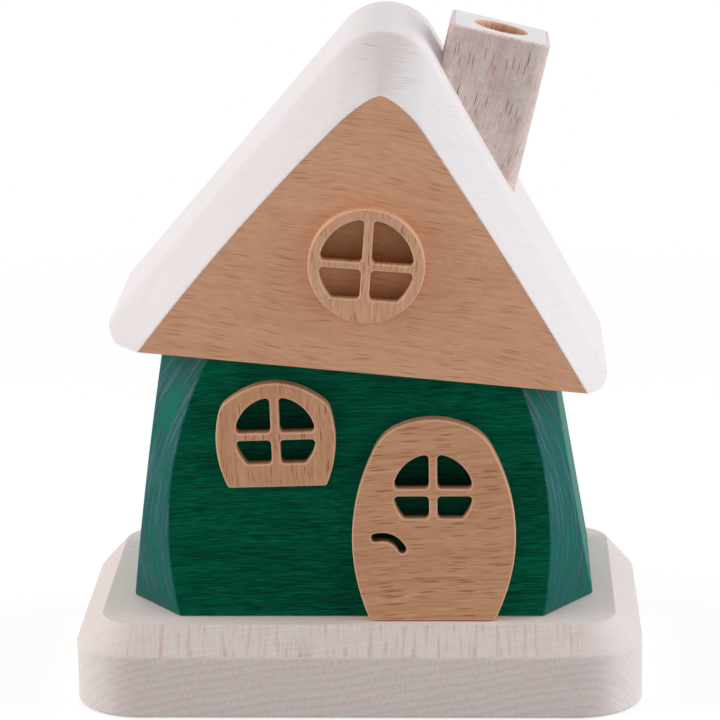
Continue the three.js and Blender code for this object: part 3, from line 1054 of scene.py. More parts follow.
@dataclass(frozen=True)
class GreenStain(WoodFinish):
    """Beech under a deep green water stain."""

    bright: Colour = paint(3, 110, 80)  # The lightest stain
    full: Colour = paint(1, 86, 62)  # The stain between
    dark: Colour = paint(0, 58, 43)  # The darkest stain
    ray: Colour = paint(0, 34, 25)  # The colour of the flecks
    end_tone_and_sheen: Colour = paint(46, 98, 98)  # The stain on end grain, with a painted grey sheen
    end_line: Colour = paint(14, 124, 100)  # The colour of the rings on end grain
    end_pale_sheen: Colour = paint(84, 118, 128)  # Pale blue-grey streaks on end grain: stain that drank in little, with a painted sheen
    bare: Colour = paint(148, 112, 78)  # The wood where the stain stops at the foot
    foot: float = 20.0  # The height of the foot, in millimetres
    bare_width: float = 0.3  # How much of the foot's arris is bare, in millimetres
    roughness: float = 0.42
    gloss: float = 0.03
    relief: float = 0.04
    openings: tuple[Opening, ...] = ()  # Where the wall lies behind a light
    recess_shade: Colour = paint(149, 89, 93)  # The tint of the painted shade there

    def surface(self, bench: Bench, wood: Timber) -> tuple[Socket, Socket, Socket]:
        """Works out how the stained wood looks.

        Args:
            bench: The material's bench.
            wood: The wood below.

        Returns:
            The colour, the roughness and the relief.
        """
        above_foot = wood.height - self.foot
        low = above_foot.fall(2, 34)
        # The facets' end grain: painted grey sheen over the stain, its pale streaks of painted sheen
        # fewer towards the foot, which is darker
        pale_sheen_lines = wood.layer.rise(0.5, 0.65) * (1 - low * 0.55)
        end_colour = bench.layers(bench.blend(pale_sheen_lines, self.end_tone_and_sheen, self.end_pale_sheen),
                                  (wood.layer.fall(0.36, 0.48) * 0.8 + wood.late * 0.2, self.end_line),
                                  ((wood.speck - 0.45).most(0.0) * 1.3 + low * 0.16, self.dark),
                                  (wood.end_grain.rise(0.8, 0.96) * 0.4, self.end_line))
        tone = wood.fibre * 0.8 + wood.streak * 0.4 + wood.cloud * 0.3 - 0.27
        colour = bench.layers(bench.ramp(tone, (0.3, self.bright), (0.47, self.full), (0.66, self.dark)),
                              (wood.ray * 0.8, self.ray),
                              (wood.end_grain.rise(0.25, 0.6), end_colour),
                              (above_foot.fall(self.bare_width * 0.6, self.bare_width), self.bare))
        # Painted shade on the wall behind the window and the door
        colour = shade_recesses(bench, colour, wood, self.openings, self.recess_shade)
        height = wood.fibre * 0.5 - wood.ray * 0.6 - wood.late * 0.2
        return colour, self.roughness + wood.fibre * 0.2 - wood.end_grain * 0.04, height


@dataclass(frozen=True)
class Tinplate:
    """Bright tinned sheet, dulled a little by smoke."""

    name: str
    bright: Colour = paint(205, 205, 203)  # The clean metal
    smoked: Colour = paint(150, 138, 118)  # The metal under a film of smoke

    def make(self) -> Material:
        """Makes the finish.

        Returns:
            The material.
        """
        material, bench = new_material(self.name)
        point = bench.vector("SCALE", bench.coordinate("Object"), 1 / MM)
        film = bench.noise(point, 0.16, 3.0).rise(0.42, 0.7)
        turning = bench.noise(bench.vector("MULTIPLY", point, (0.4, 0.4, 9.0)), 1.0, 2.0)
        colour = bench.blend(film * 0.7, self.bright, self.smoked)
        rough = 0.26 + film * 0.22 + turning * 0.1
        bench.coat({"Base Color": colour, "Roughness": rough, "Metallic": 0.95}, turning, 0.01)
        return material


# The pieces


@dataclass
class Plan:
    """What more than one piece has to agree on, in millimetres and degrees."""

    base_height: float = 20.0  # The height of the base plate's top
    house_front: float = -29.5  # The depth of the house's front wall
    house_back: float = 28.5  # The depth of its back wall
    house_height: float = 56.4  # The height of the roof's seat over the base plate, at x = 0
    roof_tilt: float = 5.6  # How far the roof leans to the right
    chamber_x: float = 3.0  # The middle of the smoke chamber, across
    chamber_y: float = -1.0  # The middle of the smoke chamber, in depth
    chamber_radius: float = 17.5
    ridge_x: float = 0.5  # The ridge's place in the roof's frame
    roof_feet: Pair = (57.4, 56.0)  # How far its left and its right slope reach out from the ridge
    roof_rise: float = 81.3  # The height of the slopes' meeting line
    gable_overhang: float = 3.5  # How far the gable stands before the front wall
    chimney_lean: float = 8.0  # How far the chimney leans on the roof
    chimney_x: float = 24.8  # The middle of the chimney's top in the roof's frame
    chimney_height: float = 71.6  # The height of that point there
    flue_radius: float = 5.75
    fibre_tilt: float = 4.5  # How much steeper than its seat the roof's fibres run
    # The middle of the gable window in the roof's frame, across and up
    gable_window_at: Pair = (0.65, 24.1)
    # The middle of the front window in the house's frame
    front_window_at: Pair = (-17.15, 42.0)
    door_light_at: Pair = (16.7, 29.3)  # The middle of the door's light there
    handle_at: Pair = (7.1, 17.9)  # The middle of the slot that is the door's handle
    dowel_spread: float = 30.0  # How far each dowel between house and roof lies from the middle

    @property
    def chamber(self) -> Pair:
        """The axis of the smoke chamber."""
        return self.chamber_x, self.chamber_y

    @property
    def house_frame(self) -> Matrix:
        """The frame that stands on the base plate's top."""
        return Matrix.Translation((0, 0, self.base_height))

    @property
    def roof_frame(self) -> Matrix:
        """The leaning frame on the house's top."""
        seat_of_roof = Matrix.Translation((0, 0, self.base_height + self.house_height))
        return seat_of_roof @ Matrix.Rotation(radians(self.roof_tilt), 4, "Y")

    @property
    def chimney_frame(self) -> Matrix:
        """The frame in the middle of the chimney's top."""
        top = Matrix.Translation((self.chimney_x, self.chamber_y, self.chimney_height))
        return self.roof_frame @ top @ Matrix.Rotation(radians(self.chimney_lean), 4, "Y")

    @property
    def gable_front(self) -> float:
        """The depth of the gable's face."""
        return self.house_front - self.gable_overhang

    # The openings below mark where painted shade lies in the panes and on the sills
    @property
    def gable_openings(self) -> tuple[Opening, ...]:
        """Where the gable shows through its window."""
        return (Opening(self.roof_frame, self.gable_window_at, radius=10.8, wall=self.gable_front),)

    @property
    def window_openings(self) -> tuple[Opening, ...]:
        """Where the front wall shows through its window."""
        frame, wall = self.house_frame, self.house_front
        return (Opening(frame, self.front_window_at, radius=9.3, wall=wall, amount=0.72),)

    @property
    def door_openings(self) -> tuple[Opening, ...]:
        """Works out where the front wall shows through the door.

        Returns:
            The door's light and its handle.
        """
        frame, wall = self.house_frame, self.house_front
        return (Opening(frame, self.door_light_at, radius=9.2, wall=wall),
                Opening(frame, self.handle_at, radius=4.6, wall=wall, reach=3.3))

    @property
    def fibres(self) -> Triple:
        """The way that the fibres of the roof run, a little steeper than its seat."""
        return tuple(self.roof_frame.to_3x3() @ Vector((1, 0, -tan(radians(self.fibre_tilt)))))


@dataclass
class BasePlate:
    """The bevelled slab that the house stands on."""

    plan: Plan
    corner_radius: float = 15.0  # The rounding of its corners seen from above
    chamfer_width: float = 6.0  # How far the bevel goes in at the ends
    long_share: float = 0.7  # The share of that along the front and back
    chamfer_height: float = 6.2
    shoulder_ease: float = 1.3  # The rounding where the bevel meets the side
    lip_ease: float = 0.45  # The rounding where it meets the top
    bottom_ease: float = 0.5  # The rounding of the lower arris
    recess_radius: float = 17.3
    recess_depth: float = 5.0
    nail_radius: float = 1.0
    nail_depth: float = 8.2
    corner_steps: int = 16

    def profile(self) -> Loop:
        """Draws the plate's side from the underside to the top.

        Returns:
            Points of (inset, height).
        """
        shoulder = self.plan.base_height - self.chamfer_height
        foot, bend = Vector((0, 0)), Vector((0, shoulder))
        lip = Vector((self.chamfer_width, self.plan.base_height))
        inside = Vector((2 * self.chamfer_width, self.plan.base_height))
        ease = self.bottom_ease
        return [
            *fillet(Vector((2 * ease, 0)), foot, bend, ease, steps=4),
            *fillet(foot, bend, lip, self.shoulder_ease, steps=6),
            *fillet(bend, lip, inside, self.lip_ease, steps=6),
            Vector((self.chamfer_width + self.lip_ease, self.plan.base_height)),
        ]

    def outline_at(self, into: float, height: float) -> Loop:
        """Works out the plate's outline at a height.

        Args:
            into: How far it is drawn in at its ends.
            height: The height.

        Returns:
            The outline, laid flat.
        """
        low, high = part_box("base_plate")
        size = (high - low) / MM
        width, depth = size.x - 2 * into, size.y - 2 * into * self.long_share
        corner = self.corner_radius - into
        return lying(rounded_rectangle(width, depth, corner, self.corner_steps), height)

    def build(self) -> Piece:
        """Builds the plate with the disc's recess and the nail's hole.

        Returns:
            The plate, whose finish 1 is for bare wood.
        """
        top = self.plan.base_height
        floor = top - self.recess_depth
        mouth = circle(self.recess_radius, WIDE_STEPS, *self.plan.chamber)
        narrow = circle(self.nail_radius, NARROW_STEPS, *self.plan.chamber)
        skin = Skin()
        sides = skin.stack([self.outline_at(p.x, p.y) for p in self.profile()])
        recess = skin.stack([lying(mouth, top), lying(mouth, floor)], finish=1)
        hole = skin.stack([lying(narrow, floor), lying(narrow, top - self.nail_depth)], finish=1)
        skin.lid(sides[-1], recess[0])
        for rims in ((recess[-1], hole[0]), (hole[-1],), (sides[0],)):
            skin.lid(*rims, finish=1)
        return add_object(skin.mesh("bevelled_plate"))

    def dress(self) -> None:
        """Builds and finishes the plate."""
        grain = Grain((0, 0, 10), (1, 0.03, 0.14), (0, 0.85, 0.52), heart=150, ring=1.2, wander=4.0,
                      ray_length=4.0, ray_gap=0.8, ray_core=0.2, seed=1.0)
        # Its top glaze is lighter, as painted light on the level top
        glaze = WhiteGlaze("base_white_glaze", glaze=paint(233, 224, 221), wood=paint(196, 154, 138),
                           edge=paint(240, 222, 210), top=paint(250, 241, 238), end=paint(239, 232, 229),
                           cover=0.86, end_cover=0.88, ray_show=0.1, late_show=0.11, fibre_show=0.6,
                           comb_show=0.42, sand_show=0.6, edge_show=0.45)
        finishes = [glaze.make(grain), BareBeech("base_bare_underside").make(grain)]
        seat(self.build(), finishes, Body.BASE, Slot.GLAZED_BASE, "base_plate", crease=50)


@dataclass
class Burner:
    """The turned disc that centres the house, with the cone's dish nailed on it."""

    plan: Plan
    disc_radius: float = 17.0
    disc_depth: float = 5.0  # How deep it sits in the plate
    disc_rise: float = 4.0  # How far it stands above the plate
    lead_in: float = 1.0  # The bevel that leads the house over it
    dish_radius: float = 13.0
    dish_flare: float = 1.6  # How far its wall leans out
    dish_height: float = 3.2  # The height of its rim
    sheet: float = 0.7  # The thickness of its sheet
    nail_radius: float = 0.9
    nail_slack: float = 0.1  # How much wider its holes are
    nail_length: float = 12.0  # How far its point goes below the disc's top
    nail_taper: float = 2.2  # The length of its point
    head_radius: float = 2.3
    head_height: float = 0.9
    nail_steps: int = 32
    arris: float = 0.1  # The bevel under the nail's head
    glue_gap: float = 0.02  # The gap under the disc
    lead_ease: float = 0.4  # The rounding at both ends of the lead-in

    @property
    def disc_top(self) -> float:
        """The height of the disc's top."""
        return self.plan.base_height + self.disc_rise

    def disc(self) -> Mesh:
        """Builds the disc with its bore for the nail.

        Returns:
            The disc.
        """
        bore_radius = self.nail_radius + self.nail_slack
        low = self.plan.base_height - self.disc_depth + self.glue_gap
        radius, top, lead = self.disc_radius, self.disc_top, self.lead_in
        spots = ((radius, low), (radius, top - lead), (radius - lead, top), (0, top))
        corners = [Vector(spot) for spot in spots]
        side = [(p.x, p.y) for k in (0, 1) for p in fillet(*corners[k:k + 3], self.lead_ease, steps=3)]
        start = (bore_radius, low)
        foot = [start, (radius - lead / 2, low), (radius, low + lead / 2)]
        profile = [*foot, *side, (bore_radius, top), start]
        return turned("centring_disc", profile, WIDE_STEPS, self.plan.chamber)

    def dish(self) -> Mesh:
        """Builds the pressed dish with its rolled rim.

        Returns:
            The dish.
        """
        floor, foot, sheet = self.dish_radius - self.dish_flare, self.disc_top, self.sheet
        roll = sheet * 0.62
        turns = [radians(degrees) for degrees in range(-60, 241, 30)]
        rim = [(self.dish_radius - roll + roll * cos(a), foot + self.dish_height - roll + roll * sin(a))
               for a in turns]
        outer = [(floor - 2 * sheet, 0), (floor - sheet, 0.12), (floor - sheet * 0.3, 0.5)]
        inner = [(floor - sheet, 1.5), (floor - sheet * 1.6, 1.1), (floor - sheet * 2.4, 1)]
        ridge = [(floor * 0.62, 1), (floor * 0.6, 1.25), (floor * 0.57, 1.25), (floor * 0.55, 1)]
        start = (self.nail_radius + self.nail_slack, 0)

        def lifted(spots: Sequence[Pair]) -> list[Pair]:
            """Points whose heights are counted in sheets above the disc."""
            return [(radius, foot + sheet * sheets) for radius, sheets in spots]

        profile = [*lifted([start, *outer]), *rim, *lifted([*inner, *ridge, (start[0], 1), start])]
        return turned("pressed_dish", profile, WIDE_STEPS, self.plan.chamber)

    def nail(self) -> Mesh:
        """Builds the round-headed nail.

        Returns:
            The nail.
        """
        under_head = self.disc_top + self.sheet
        edge = under_head + self.head_height / 3
        bulge = under_head + self.head_height - edge
        turns = [radians(degrees) for degrees in range(0, 90, 15)]
        dome = [(self.head_radius * cos(a), edge + bulge * sin(a)) for a in turns]
        point = self.disc_top - self.nail_length
        profile = [
            (0.0, point),
            (self.nail_radius, point + self.nail_taper),
            (self.nail_radius, under_head),
            (self.head_radius - self.arris, under_head),
            (self.head_radius, under_head + self.arris),
            *dome,
            (0.0, under_head + self.head_height),
        ]
        return turned("round_head_nail", profile, self.nail_steps, self.plan.chamber)

    def dress(self) -> None:
        """Builds and finishes the disc, the dish and the nail."""
        grain = Grain((3, -1, 20), (1, 0.1, 0), (0, 0.2, 1), heart=50, seed=2.0)
        wood = BareBeech("disc_bare_beech").make(grain)
        tin = Tinplate("dish_tinplate").make()
        seat(add_object(self.disc()), [wood], Body.BASE, Slot.BARE, "locating_disc")
        for mesh, node in ((self.dish(), "cone_dish"), (self.nail(), "dish_nail")):
            seat(add_object(mesh), [tin], Body.BASE, Slot.TIN, node)


@dataclass(frozen=True)
class Barrel:
    """The curve of a front corner, where the corner's facet starts."""

    edge: float  # How far out it stands at its widest
    radius: float
    height: float  # The height at which it is widest

    def at(self, height: float) -> float:
        """How far out it stands at a height."""
        return self.edge - self.radius + sqrt(self.radius ** 2 - (height - self.height) ** 2)


@dataclass
class HouseBody:
    """The stained block: battered sides, barrelled front corners, a chamber and an air hole."""

    plan: Plan
    feet: Pair = (50.45, 51.9)  # How far the foot reaches to the left and to the right
    batters: Pair = (7.8, 9.8)  # How far the two sides lean in, in degrees
    corners: Pair = (38.0, 35.6)  # How far the two facets turn, in degrees
    # The curves at which the two facets start
    barrels: tuple[Barrel, Barrel] = (Barrel(41.2, 86.0, 19.0), Barrel(42.1, 103.0, 16.5))
    arris: float = 0.55  # The rounding of the upright arrises
    air_radius: float = 4.5
    air_height: float = 11.0  # The air hole's height above the base plate
    roof_gap: float = 0.05  # The glue line under the roof
    levels: int = 26  # The number of rows of faces from foot to top
    arris_angle: float = 25.0  # The angle from which an edge is an arris, in degrees
    chamber_lip: float = 0.5  # The bevel at the foot of the chamber
    mouth_gap: float = 0.4  # The depth of the bevel round the air hole
    bore_excess: float = 15.0  # How far the drill went on above the seat of the roof
    rounds: int = 8  # How often a height is brought closer to the sloping top

    def top_at(self, x: float) -> float:
        """The height of the sloping top above the foot."""
        return self.plan.house_height - self.roof_gap - x * tan(radians(self.plan.roof_tilt))

    def half_section(self, share: float, side: int) -> list[Vector]:
        """Works out one side of the block at a share of its height.

        Args:
            share: From 0 at the foot to 1 at the sloping top.
            side: -1 for the left side and 1 for the right one.

        Returns:
            The facet's front edge, its rear edge and the back corner.
        """
        foot, batter, corner, barrel = (
            pair[side > 0] for pair in (self.feet, self.batters, self.corners, self.barrels)
        )
        lean, turn = tan(radians(batter)), tan(radians(corner))

        def at_height(height: float) -> Pair:
            """The facet's front edge and the side at a height."""
            return side * barrel.at(height), side * (foot - height * lean)

        def height_where(column: int) -> float:
            """Finds a height by closing in on the sloping top.

            Args:
                column: 0 for the facet's front edge and 1 for the side.

            Returns:
                The share of the height that it reaches.
            """
            height = self.plan.house_height
            for _ in range(self.rounds):
                height = self.top_at(at_height(height)[column])
            return share * height

        front_height, side_height = height_where(0), height_where(1)
        edge = at_height(front_height)[0]
        wall = at_height(side_height)[1]
        reach = (abs(wall) - barrel.at(side_height)) / turn
        front = self.plan.house_front
        return [
            Vector((edge, front, front_height)),
            Vector((wall, front + reach, side_height)),
            Vector((wall, self.plan.house_back, side_height)),
        ]

    def block(self) -> Mesh:
        """Builds the block without its bores.

        Returns:
            The block, whose finish 1 is for bare wood.
        """
        skin = Skin()
        rings = []
        for i in range(self.levels + 1):
            left, right = (self.half_section(i / self.levels, side) for side in (-1, 1))
            rings.append([*left, *reversed(right)])
        numbered = skin.stack(rings)
        skin.faces.extend((numbered[end], 1) for end in (0, -1))
        mesh = skin.mesh("stained_block", self.plan.house_frame)

        def is_arris(edge: bmesh.types.BMEdge) -> bool:
            """Upright arrises and the edges round the foot."""
            return edge.is_manifold and edge.calc_face_angle() > radians(self.arris_angle)

        bevel_edges(mesh, is_arris, self.arris)
        return mesh

    def cutters(self) -> list[Mesh]:
        """Builds the chamber, the air hole and the dowels' holes.

        Returns:
            The bores, as solids to cut away.
        """
        plan, beyond = self.plan, 4.0
        radius, lip, foot = plan.chamber_radius, self.chamber_lip, plan.base_height
        high = foot + plan.house_height + self.bore_excess
        profile = [(0.0, foot - beyond), (radius + lip + beyond, foot - beyond), (radius, foot + lip),
                   (radius, high), (0.0, high)]
        chamber = turned("chamber_bore", profile, WIDE_STEPS, plan.chamber, finish=1)
        air = Skin()
        back, flare = plan.house_back - self.mouth_gap, 5.0
        tube = [(0.0, plan.chamber_y), (0.0, back), (flare, back + flare)]
        loops = [standing(circle(self.air_radius + wider, MIDDLE_STEPS), depth) for wider, depth in tube]
        air.cap(air.stack(loops, finish=1), finish=1)
        place = Matrix.Translation((plan.chamber_x, 0, plan.base_height + self.air_height))
        return [chamber, air.mesh("air_bore", place), *dowel_cutters(plan)]

    def dress(self) -> None:
        """Builds, bores and finishes the block."""
        piece = add_object(self.block())
        bore(piece, self.cutters())
        grain = Grain((0, 0, 48), (1, 0.02, 0.012), (0.05, 1, 0.02), heart=150, ring=1.8, wander=5.0,
                      ray_length=10.0, ray_gap=0.42, ray_core=0.3, seed=3.0)
        openings = (*self.plan.window_openings, *self.plan.door_openings)
        green = GreenStain("house_green_stain", openings=openings)
        finishes = [green.make(grain), BareBeech("house_bare_bore").make(grain)]
        seat(piece, finishes, Body.HOUSE, Slot.GREEN, "house_body", crease=36)


def dowel_cutters(plan: Plan, radius: float = 4.1, length: float = 24.4, steps: int = 32) -> list[Mesh]:
    """Builds the holes of the two dowels between house and roof.

    Args:
        plan: Where they lie.
        radius: Their radius, in millimetres.
        length: Their length, in millimetres.
        steps: The steps round them.

    Returns:
        The holes, as solids to cut away.
    """
    half = length / 2
    profile = [(0.0, -half), (radius, -half), (radius, half), (0.0, half)]
    spots = [(side * plan.dowel_spread, plan.chamber_y) for side in (-1, 1)]
    return [turned("dowel_bore", profile, steps, spot, 1, plan.roof_frame) for spot in spots]


@dataclass
class Dowels:
    """The two ribbed rods that pin the roof to the house."""

    plan: Plan
    radius: float = 4.0  # Their radius over the ribs
    length: float = 24.0
    ribs: int = 20  # The number of grooves
    groove: float = 0.25
    bevel: float = 0.8  # The bevel of their ends

    def rod(self, name: str, side: int) -> Piece:
        """Builds one rod.

        Args:
            name: Its name.
            side: -1 for the left rod and 1 for the right one.

        Returns:
            The rod.
        """
        end, bevel, points_per_rib = self.length / 2, self.bevel, 4
        axis = (side * self.plan.dowel_spread, self.plan.chamber_y)
        rings = []
        for height, taper in ((-end, bevel), (bevel - end, 0), (end - bevel, 0), (end, bevel)):
            ribs, grooves = (circle(self.radius - taper - depth, self.ribs * points_per_rib, *axis)
                             for depth in (0, self.groove))
            ribs[::points_per_rib] = grooves[::points_per_rib]
            rings.append(lying(ribs, height))
        skin = Skin()
        skin.cap(skin.stack(rings))
        return add_object(skin.mesh(name, self.plan.roof_frame))

    def dress(self) -> None:
        """Builds and finishes both rods."""
        along = tuple(self.plan.roof_frame.to_3x3() @ UP)
        grain = Grain((0, 0, 76), along, (0, 1, 0), heart=30, seed=4.0)
        wood = BareBeech("dowel_beech_rod", pale=paint(224, 184, 148), warm=paint(206, 162, 124))
        finishes = [wood.make(grain)]
        for side, name in ((-1, "left"), (1, "right")):
            rod = self.rod(f"ribbed_dowel_{name}", side)
            seat(rod, finishes, Body.HOUSE, Slot.DOWEL, f"roof_dowel_{name}")


@dataclass
class Roof:
    """The roof block: white slopes and chamfers round bare gable faces."""

    plan: Plan
    ridge_radius: float = 12.2
    eaves: Pair = (3.3, 2.3)  # The rounding of the left and of the right eave
    eave_turn: float = 125.0  # How far an eave's rounding turns, in degrees
    gable_feet: Pair = (47.2, 49.8)  # How far the gable's foot reaches out to the left and to the right
    # Where the gable's slanting sides would meet, in the roof's frame
    gable_peak: Pair = (1.0, 65.0)
    gable_bulges: Pair = (1.45, 0.6)  # How far its left and its right side swell outwards
    gable_top_radius: float = 5.2  # The rounding that the straight run of its sides aims at
    # The tip of its crown, where the sides close in sooner than that
    gable_tip: Pair = (0.4, 60.25)
    # The heights at which the crown leaves its left and its right side
    gable_shoulders: Pair = (52.8, 53.6)
    gable_handles: Pair = (3.7, 4.7)  # How stiffly it leaves them
    # How far the crown runs level to the left and the right of its tip
    tip_handles: Pair = (-1.8, 1.8)
    chamfer_depth: float = 10.0  # The depth of the chamfers between gable and slopes
    turn_ease: float = 1.0  # The rounding where chamfer and slope meet
    arris: float = 0.22  # The rounding of the gable's arris
    chamber_depth: float = 20.0  # How high the smoke chamber goes on into the roof
    chamber_ease: float = 0.8  # The bevel at the top of the chamber
    chamber_cone: float = 2.2  # How much higher the drill's point went
    seat_facing: float = 0.9  # How squarely a face must look down to be the bare seat
    flue_depth: float = 64.0  # How far the flue goes down from the chimney's top
    eave_steps: int = 12
    side_steps: int = 24
    crown_steps: int = 30
    chamfer_steps: int = 12
    turn_steps: int = 6

    def section(self, feet: Pair, peak: Vector, top: float, bulges: Pair,
                tip: Optional[Vector] = None) -> Loop:
        """Draws a gable-shaped outline with sharp feet in the roof's frame.

        Args:
            feet: Its reach to the left of the ridge and to the right of it.
            peak: Where its slanting sides would meet.
            top: The rounding of its top.
            bulges: How far its left and its right side swell outwards.
            tip: The tip of a crown that closes in sooner than the rounding, where it has one.

        Returns:
            An anticlockwise loop with as many points whatever the sizes.
        """
        west, east = (Vector((self.plan.ridge_x + side * reach, 0)) for side, reach in zip((-1, 1), feet))
        crown = fillet(east, peak, west, top, self.crown_steps)
        shoulders = self.gable_shoulders if tip else (crown[-1].y, crown[0].y)

        def slant(foot: Vector, end: Vector, eave: float, bulge: float, shoulder: float) -> Loop:
            """Works out a side from its foot up to its shoulder.

            Args:
                foot: Its foot.
                end: Where its straight run ends.
                eave: The rounding of its eave.
                bulge: How far it swells to the right.
                shoulder: The height of its shoulder.

            Returns:
                Its points.
            """
            turns = [radians(self.eave_turn) * i / self.eave_steps for i in range(self.eave_steps + 1)]
            heights = [eave * (1 - cos(turn)) for turn in turns]
            rest = shoulder - heights[-1]
            heights += [heights[-1] + rest * i / self.side_steps for i in range(1, self.side_steps + 1)]
            lean = (end - foot).normalized().y
            shares = [height / end.y for height in heights]
            return [foot.lerp(end, t) + Vector((bulge * 4 * t * (1 - t) / lean, 0)) for t in shares]

        def half_crown(side: Loop, stiffness: float, level: float) -> Loop:
            """Draws the curve from a side's shoulder to the tip.

            Args:
                side: The points of the side.
                stiffness: How stiffly the curve leaves it.
                level: How far the curve runs level before the tip.

            Returns:
                Its points.
            """
            handle = side[-1] + (side[-1] - side[-2]).normalized() * stiffness
            points = self.crown_steps // 2 + 1
            return interpolate_bezier(side[-1], handle, tip + Vector((level, 0)), tip, points)

        ends, swells = (crown[-1], crown[0]), (-bulges[0], bulges[1])
        falling, rising = map(slant, (west, east), ends, self.eaves, swells, shoulders)
        if tip:
            left, right = map(half_crown, (falling, rising), self.gable_handles, self.tip_handles)
            crown = [*right, *reversed(left[:-1])]
        underside = [west.lerp(east, i / self.eave_steps) for i in range(1, self.eave_steps)]
        return [*rising[:-1], *crown, *reversed(falling[:-1]), *underside]

    def eased(self, point: Vector) -> Vector:
        """Draws a point of a section in to the rounding of the eaves.

        Args:
            point: The point, in the roof's frame.

        Returns:
            The point, moved in where it lay outside.
        """
        plan = self.plan
        pairs = ((-1, 1), plan.roof_feet, self.eaves)
        side, reach, eave = (pair[point.x >= plan.ridge_x] for pair in pairs)
        if point.y >= eave * (1 - cos(radians(self.eave_turn))):
            return point
        half = atan2(plan.roof_rise, reach) / 2
        middle = reach - eave / tan(half)
        limit = middle + sqrt(max(0.0, eave ** 2 - (point.y - eave) ** 2))
        return Vector((plan.ridge_x + side * min(side * (point.x - plan.ridge_x), limit), point.y))

    def rings(self) -> list[Loop]:
        """Works out the skin of the roof.

        Returns:
            Its outlines from the front gable to the back one.
        """
        plan, ease, deep, arris = self.plan, self.turn_ease, self.chamfer_depth, self.arris
        peak = Vector((plan.ridge_x, plan.roof_rise))
        full = self.section(plan.roof_feet, peak, self.ridge_radius, (0.0, 0.0))

        def at(share: float, shrink: float = 0.0) -> Loop:
            """Works out the section on its way from the gable to the full roof.

            Args:
                share: 0 at the gable and 1 at the full roof.
                shrink: How far its sides are drawn in.

            Returns:
                The section.
            """
            lean = atan2(self.gable_peak[1], self.gable_feet[0])
            feet = tuple(reach - shrink / sin(lean) for reach in self.gable_feet)
            peak = Vector(self.gable_peak) - Vector((0, shrink / cos(lean)))
            tip = Vector(self.gable_tip) - Vector((0, shrink))
            gable = self.section(feet, peak, self.gable_top_radius - shrink, self.gable_bulges, tip)
            return [self.eased(a.lerp(b, share)) for a, b in zip(gable, full)]

        shares = [i / self.turn_steps for i in range(self.turn_steps + 1)]
        turn = [(deep + ease * (2 * t - 1), 1 - (1 - t) ** 2 * ease / deep) for t in shares]
        start = [(0.0, 0.0, arris), (arris * 0.15, 0.0, arris * 0.4), (arris * 0.5, 0.0, arris * 0.1),
                 (arris, arris / deep, 0.0)]
        steps = self.chamfer_steps
        middle = [(deep * k / steps, k / steps, 0.0) for k in range(1, steps - 1)]
        front = [*start, *middle, *((d, s, 0.0) for d, s in turn)]
        loops = [standing(at(s, shrink), plan.gable_front + d) for d, s, shrink in front]
        return loops + [standing(at(s, shrink), plan.house_back - d) for d, s, shrink in reversed(front)]

    def block(self) -> Mesh:
        """Builds the roof without its bores.

        Returns:
            The roof, whose finish 0 is for glazed and finish 1 for bare wood.
        """
        skin = Skin()
        loops = self.rings()
        # The gable's arris gets glaze wear and a painted highlight
        rubbed_and_lit = [0.6, 1.0, 0.8]
        wear_and_highlight = [*rubbed_and_lit, *[0.0] * (len(loops) - 2 * len(rubbed_and_lit)), *reversed(rubbed_and_lit)]
        skin.cap(skin.stack(loops, wear_and_highlight=wear_and_highlight), finish=1)
        mesh = skin.mesh("saddle_roof", self.plan.roof_frame)
        down = self.plan.roof_frame.to_3x3() @ Vector((0, 0, -1))
        for face in mesh.polygons:
            if face.normal.dot(down) > self.seat_facing:
                face.material_index = 1
        return mesh

    def cutters(self) -> list[Mesh]:
        """Builds the chamber, the flue and the dowels' holes.

        Returns:
            The bores, as solids to cut away.
        """
        plan, beyond = self.plan, 5.0
        radius, high, ease = plan.chamber_radius, self.chamber_depth, self.chamber_ease
        profile = [(0.0, -beyond), (radius, -beyond), (radius, high - ease), (radius - ease, high),
                   (0.0, high + self.chamber_cone)]
        chamber = turned("roof_chamber_bore", profile, WIDE_STEPS, plan.chamber, 1, plan.roof_frame)
        radius, low = plan.flue_radius, -self.flue_depth
        profile = [(0.0, low), (radius, low), (radius, beyond), (0.0, beyond)]
        flue = turned("flue_bore", profile, MIDDLE_STEPS, finish=2, place=plan.chimney_frame)
        return [chamber, flue, *dowel_cutters(plan)]

    def dress(self) -> None:
        """Builds, bores and finishes the roof."""
        piece = add_object(self.block())
        bore(piece, self.cutters())
        grain = Grain((0, -2, 110), self.plan.fibres, (0.02, 1, -0.15), heart=110, ring=2.9, wander=8.0,
                      ray_length=10.0, ray_gap=0.5, ray_core=0.27, seed=5.0)
        wood = [
            WhiteGlaze("roof_white_glaze", glaze=paint(237, 231, 232), cover=0.93, end_cover=0.95,
                       ray_show=0.45, late_show=0.05, fibre_show=0.3, crown_shade=0.23),
            BareBeech("gable_bare_beech", openings=self.plan.gable_openings),
            BareBeech("flue_bare_bore", ray_depth=0.3),
        ]
        finishes = [finish.make(grain) for finish in wood]
        seat(piece, finishes, Body.HOUSE, Slot.GLAZED_ROOF, "roof_block", crease=36)


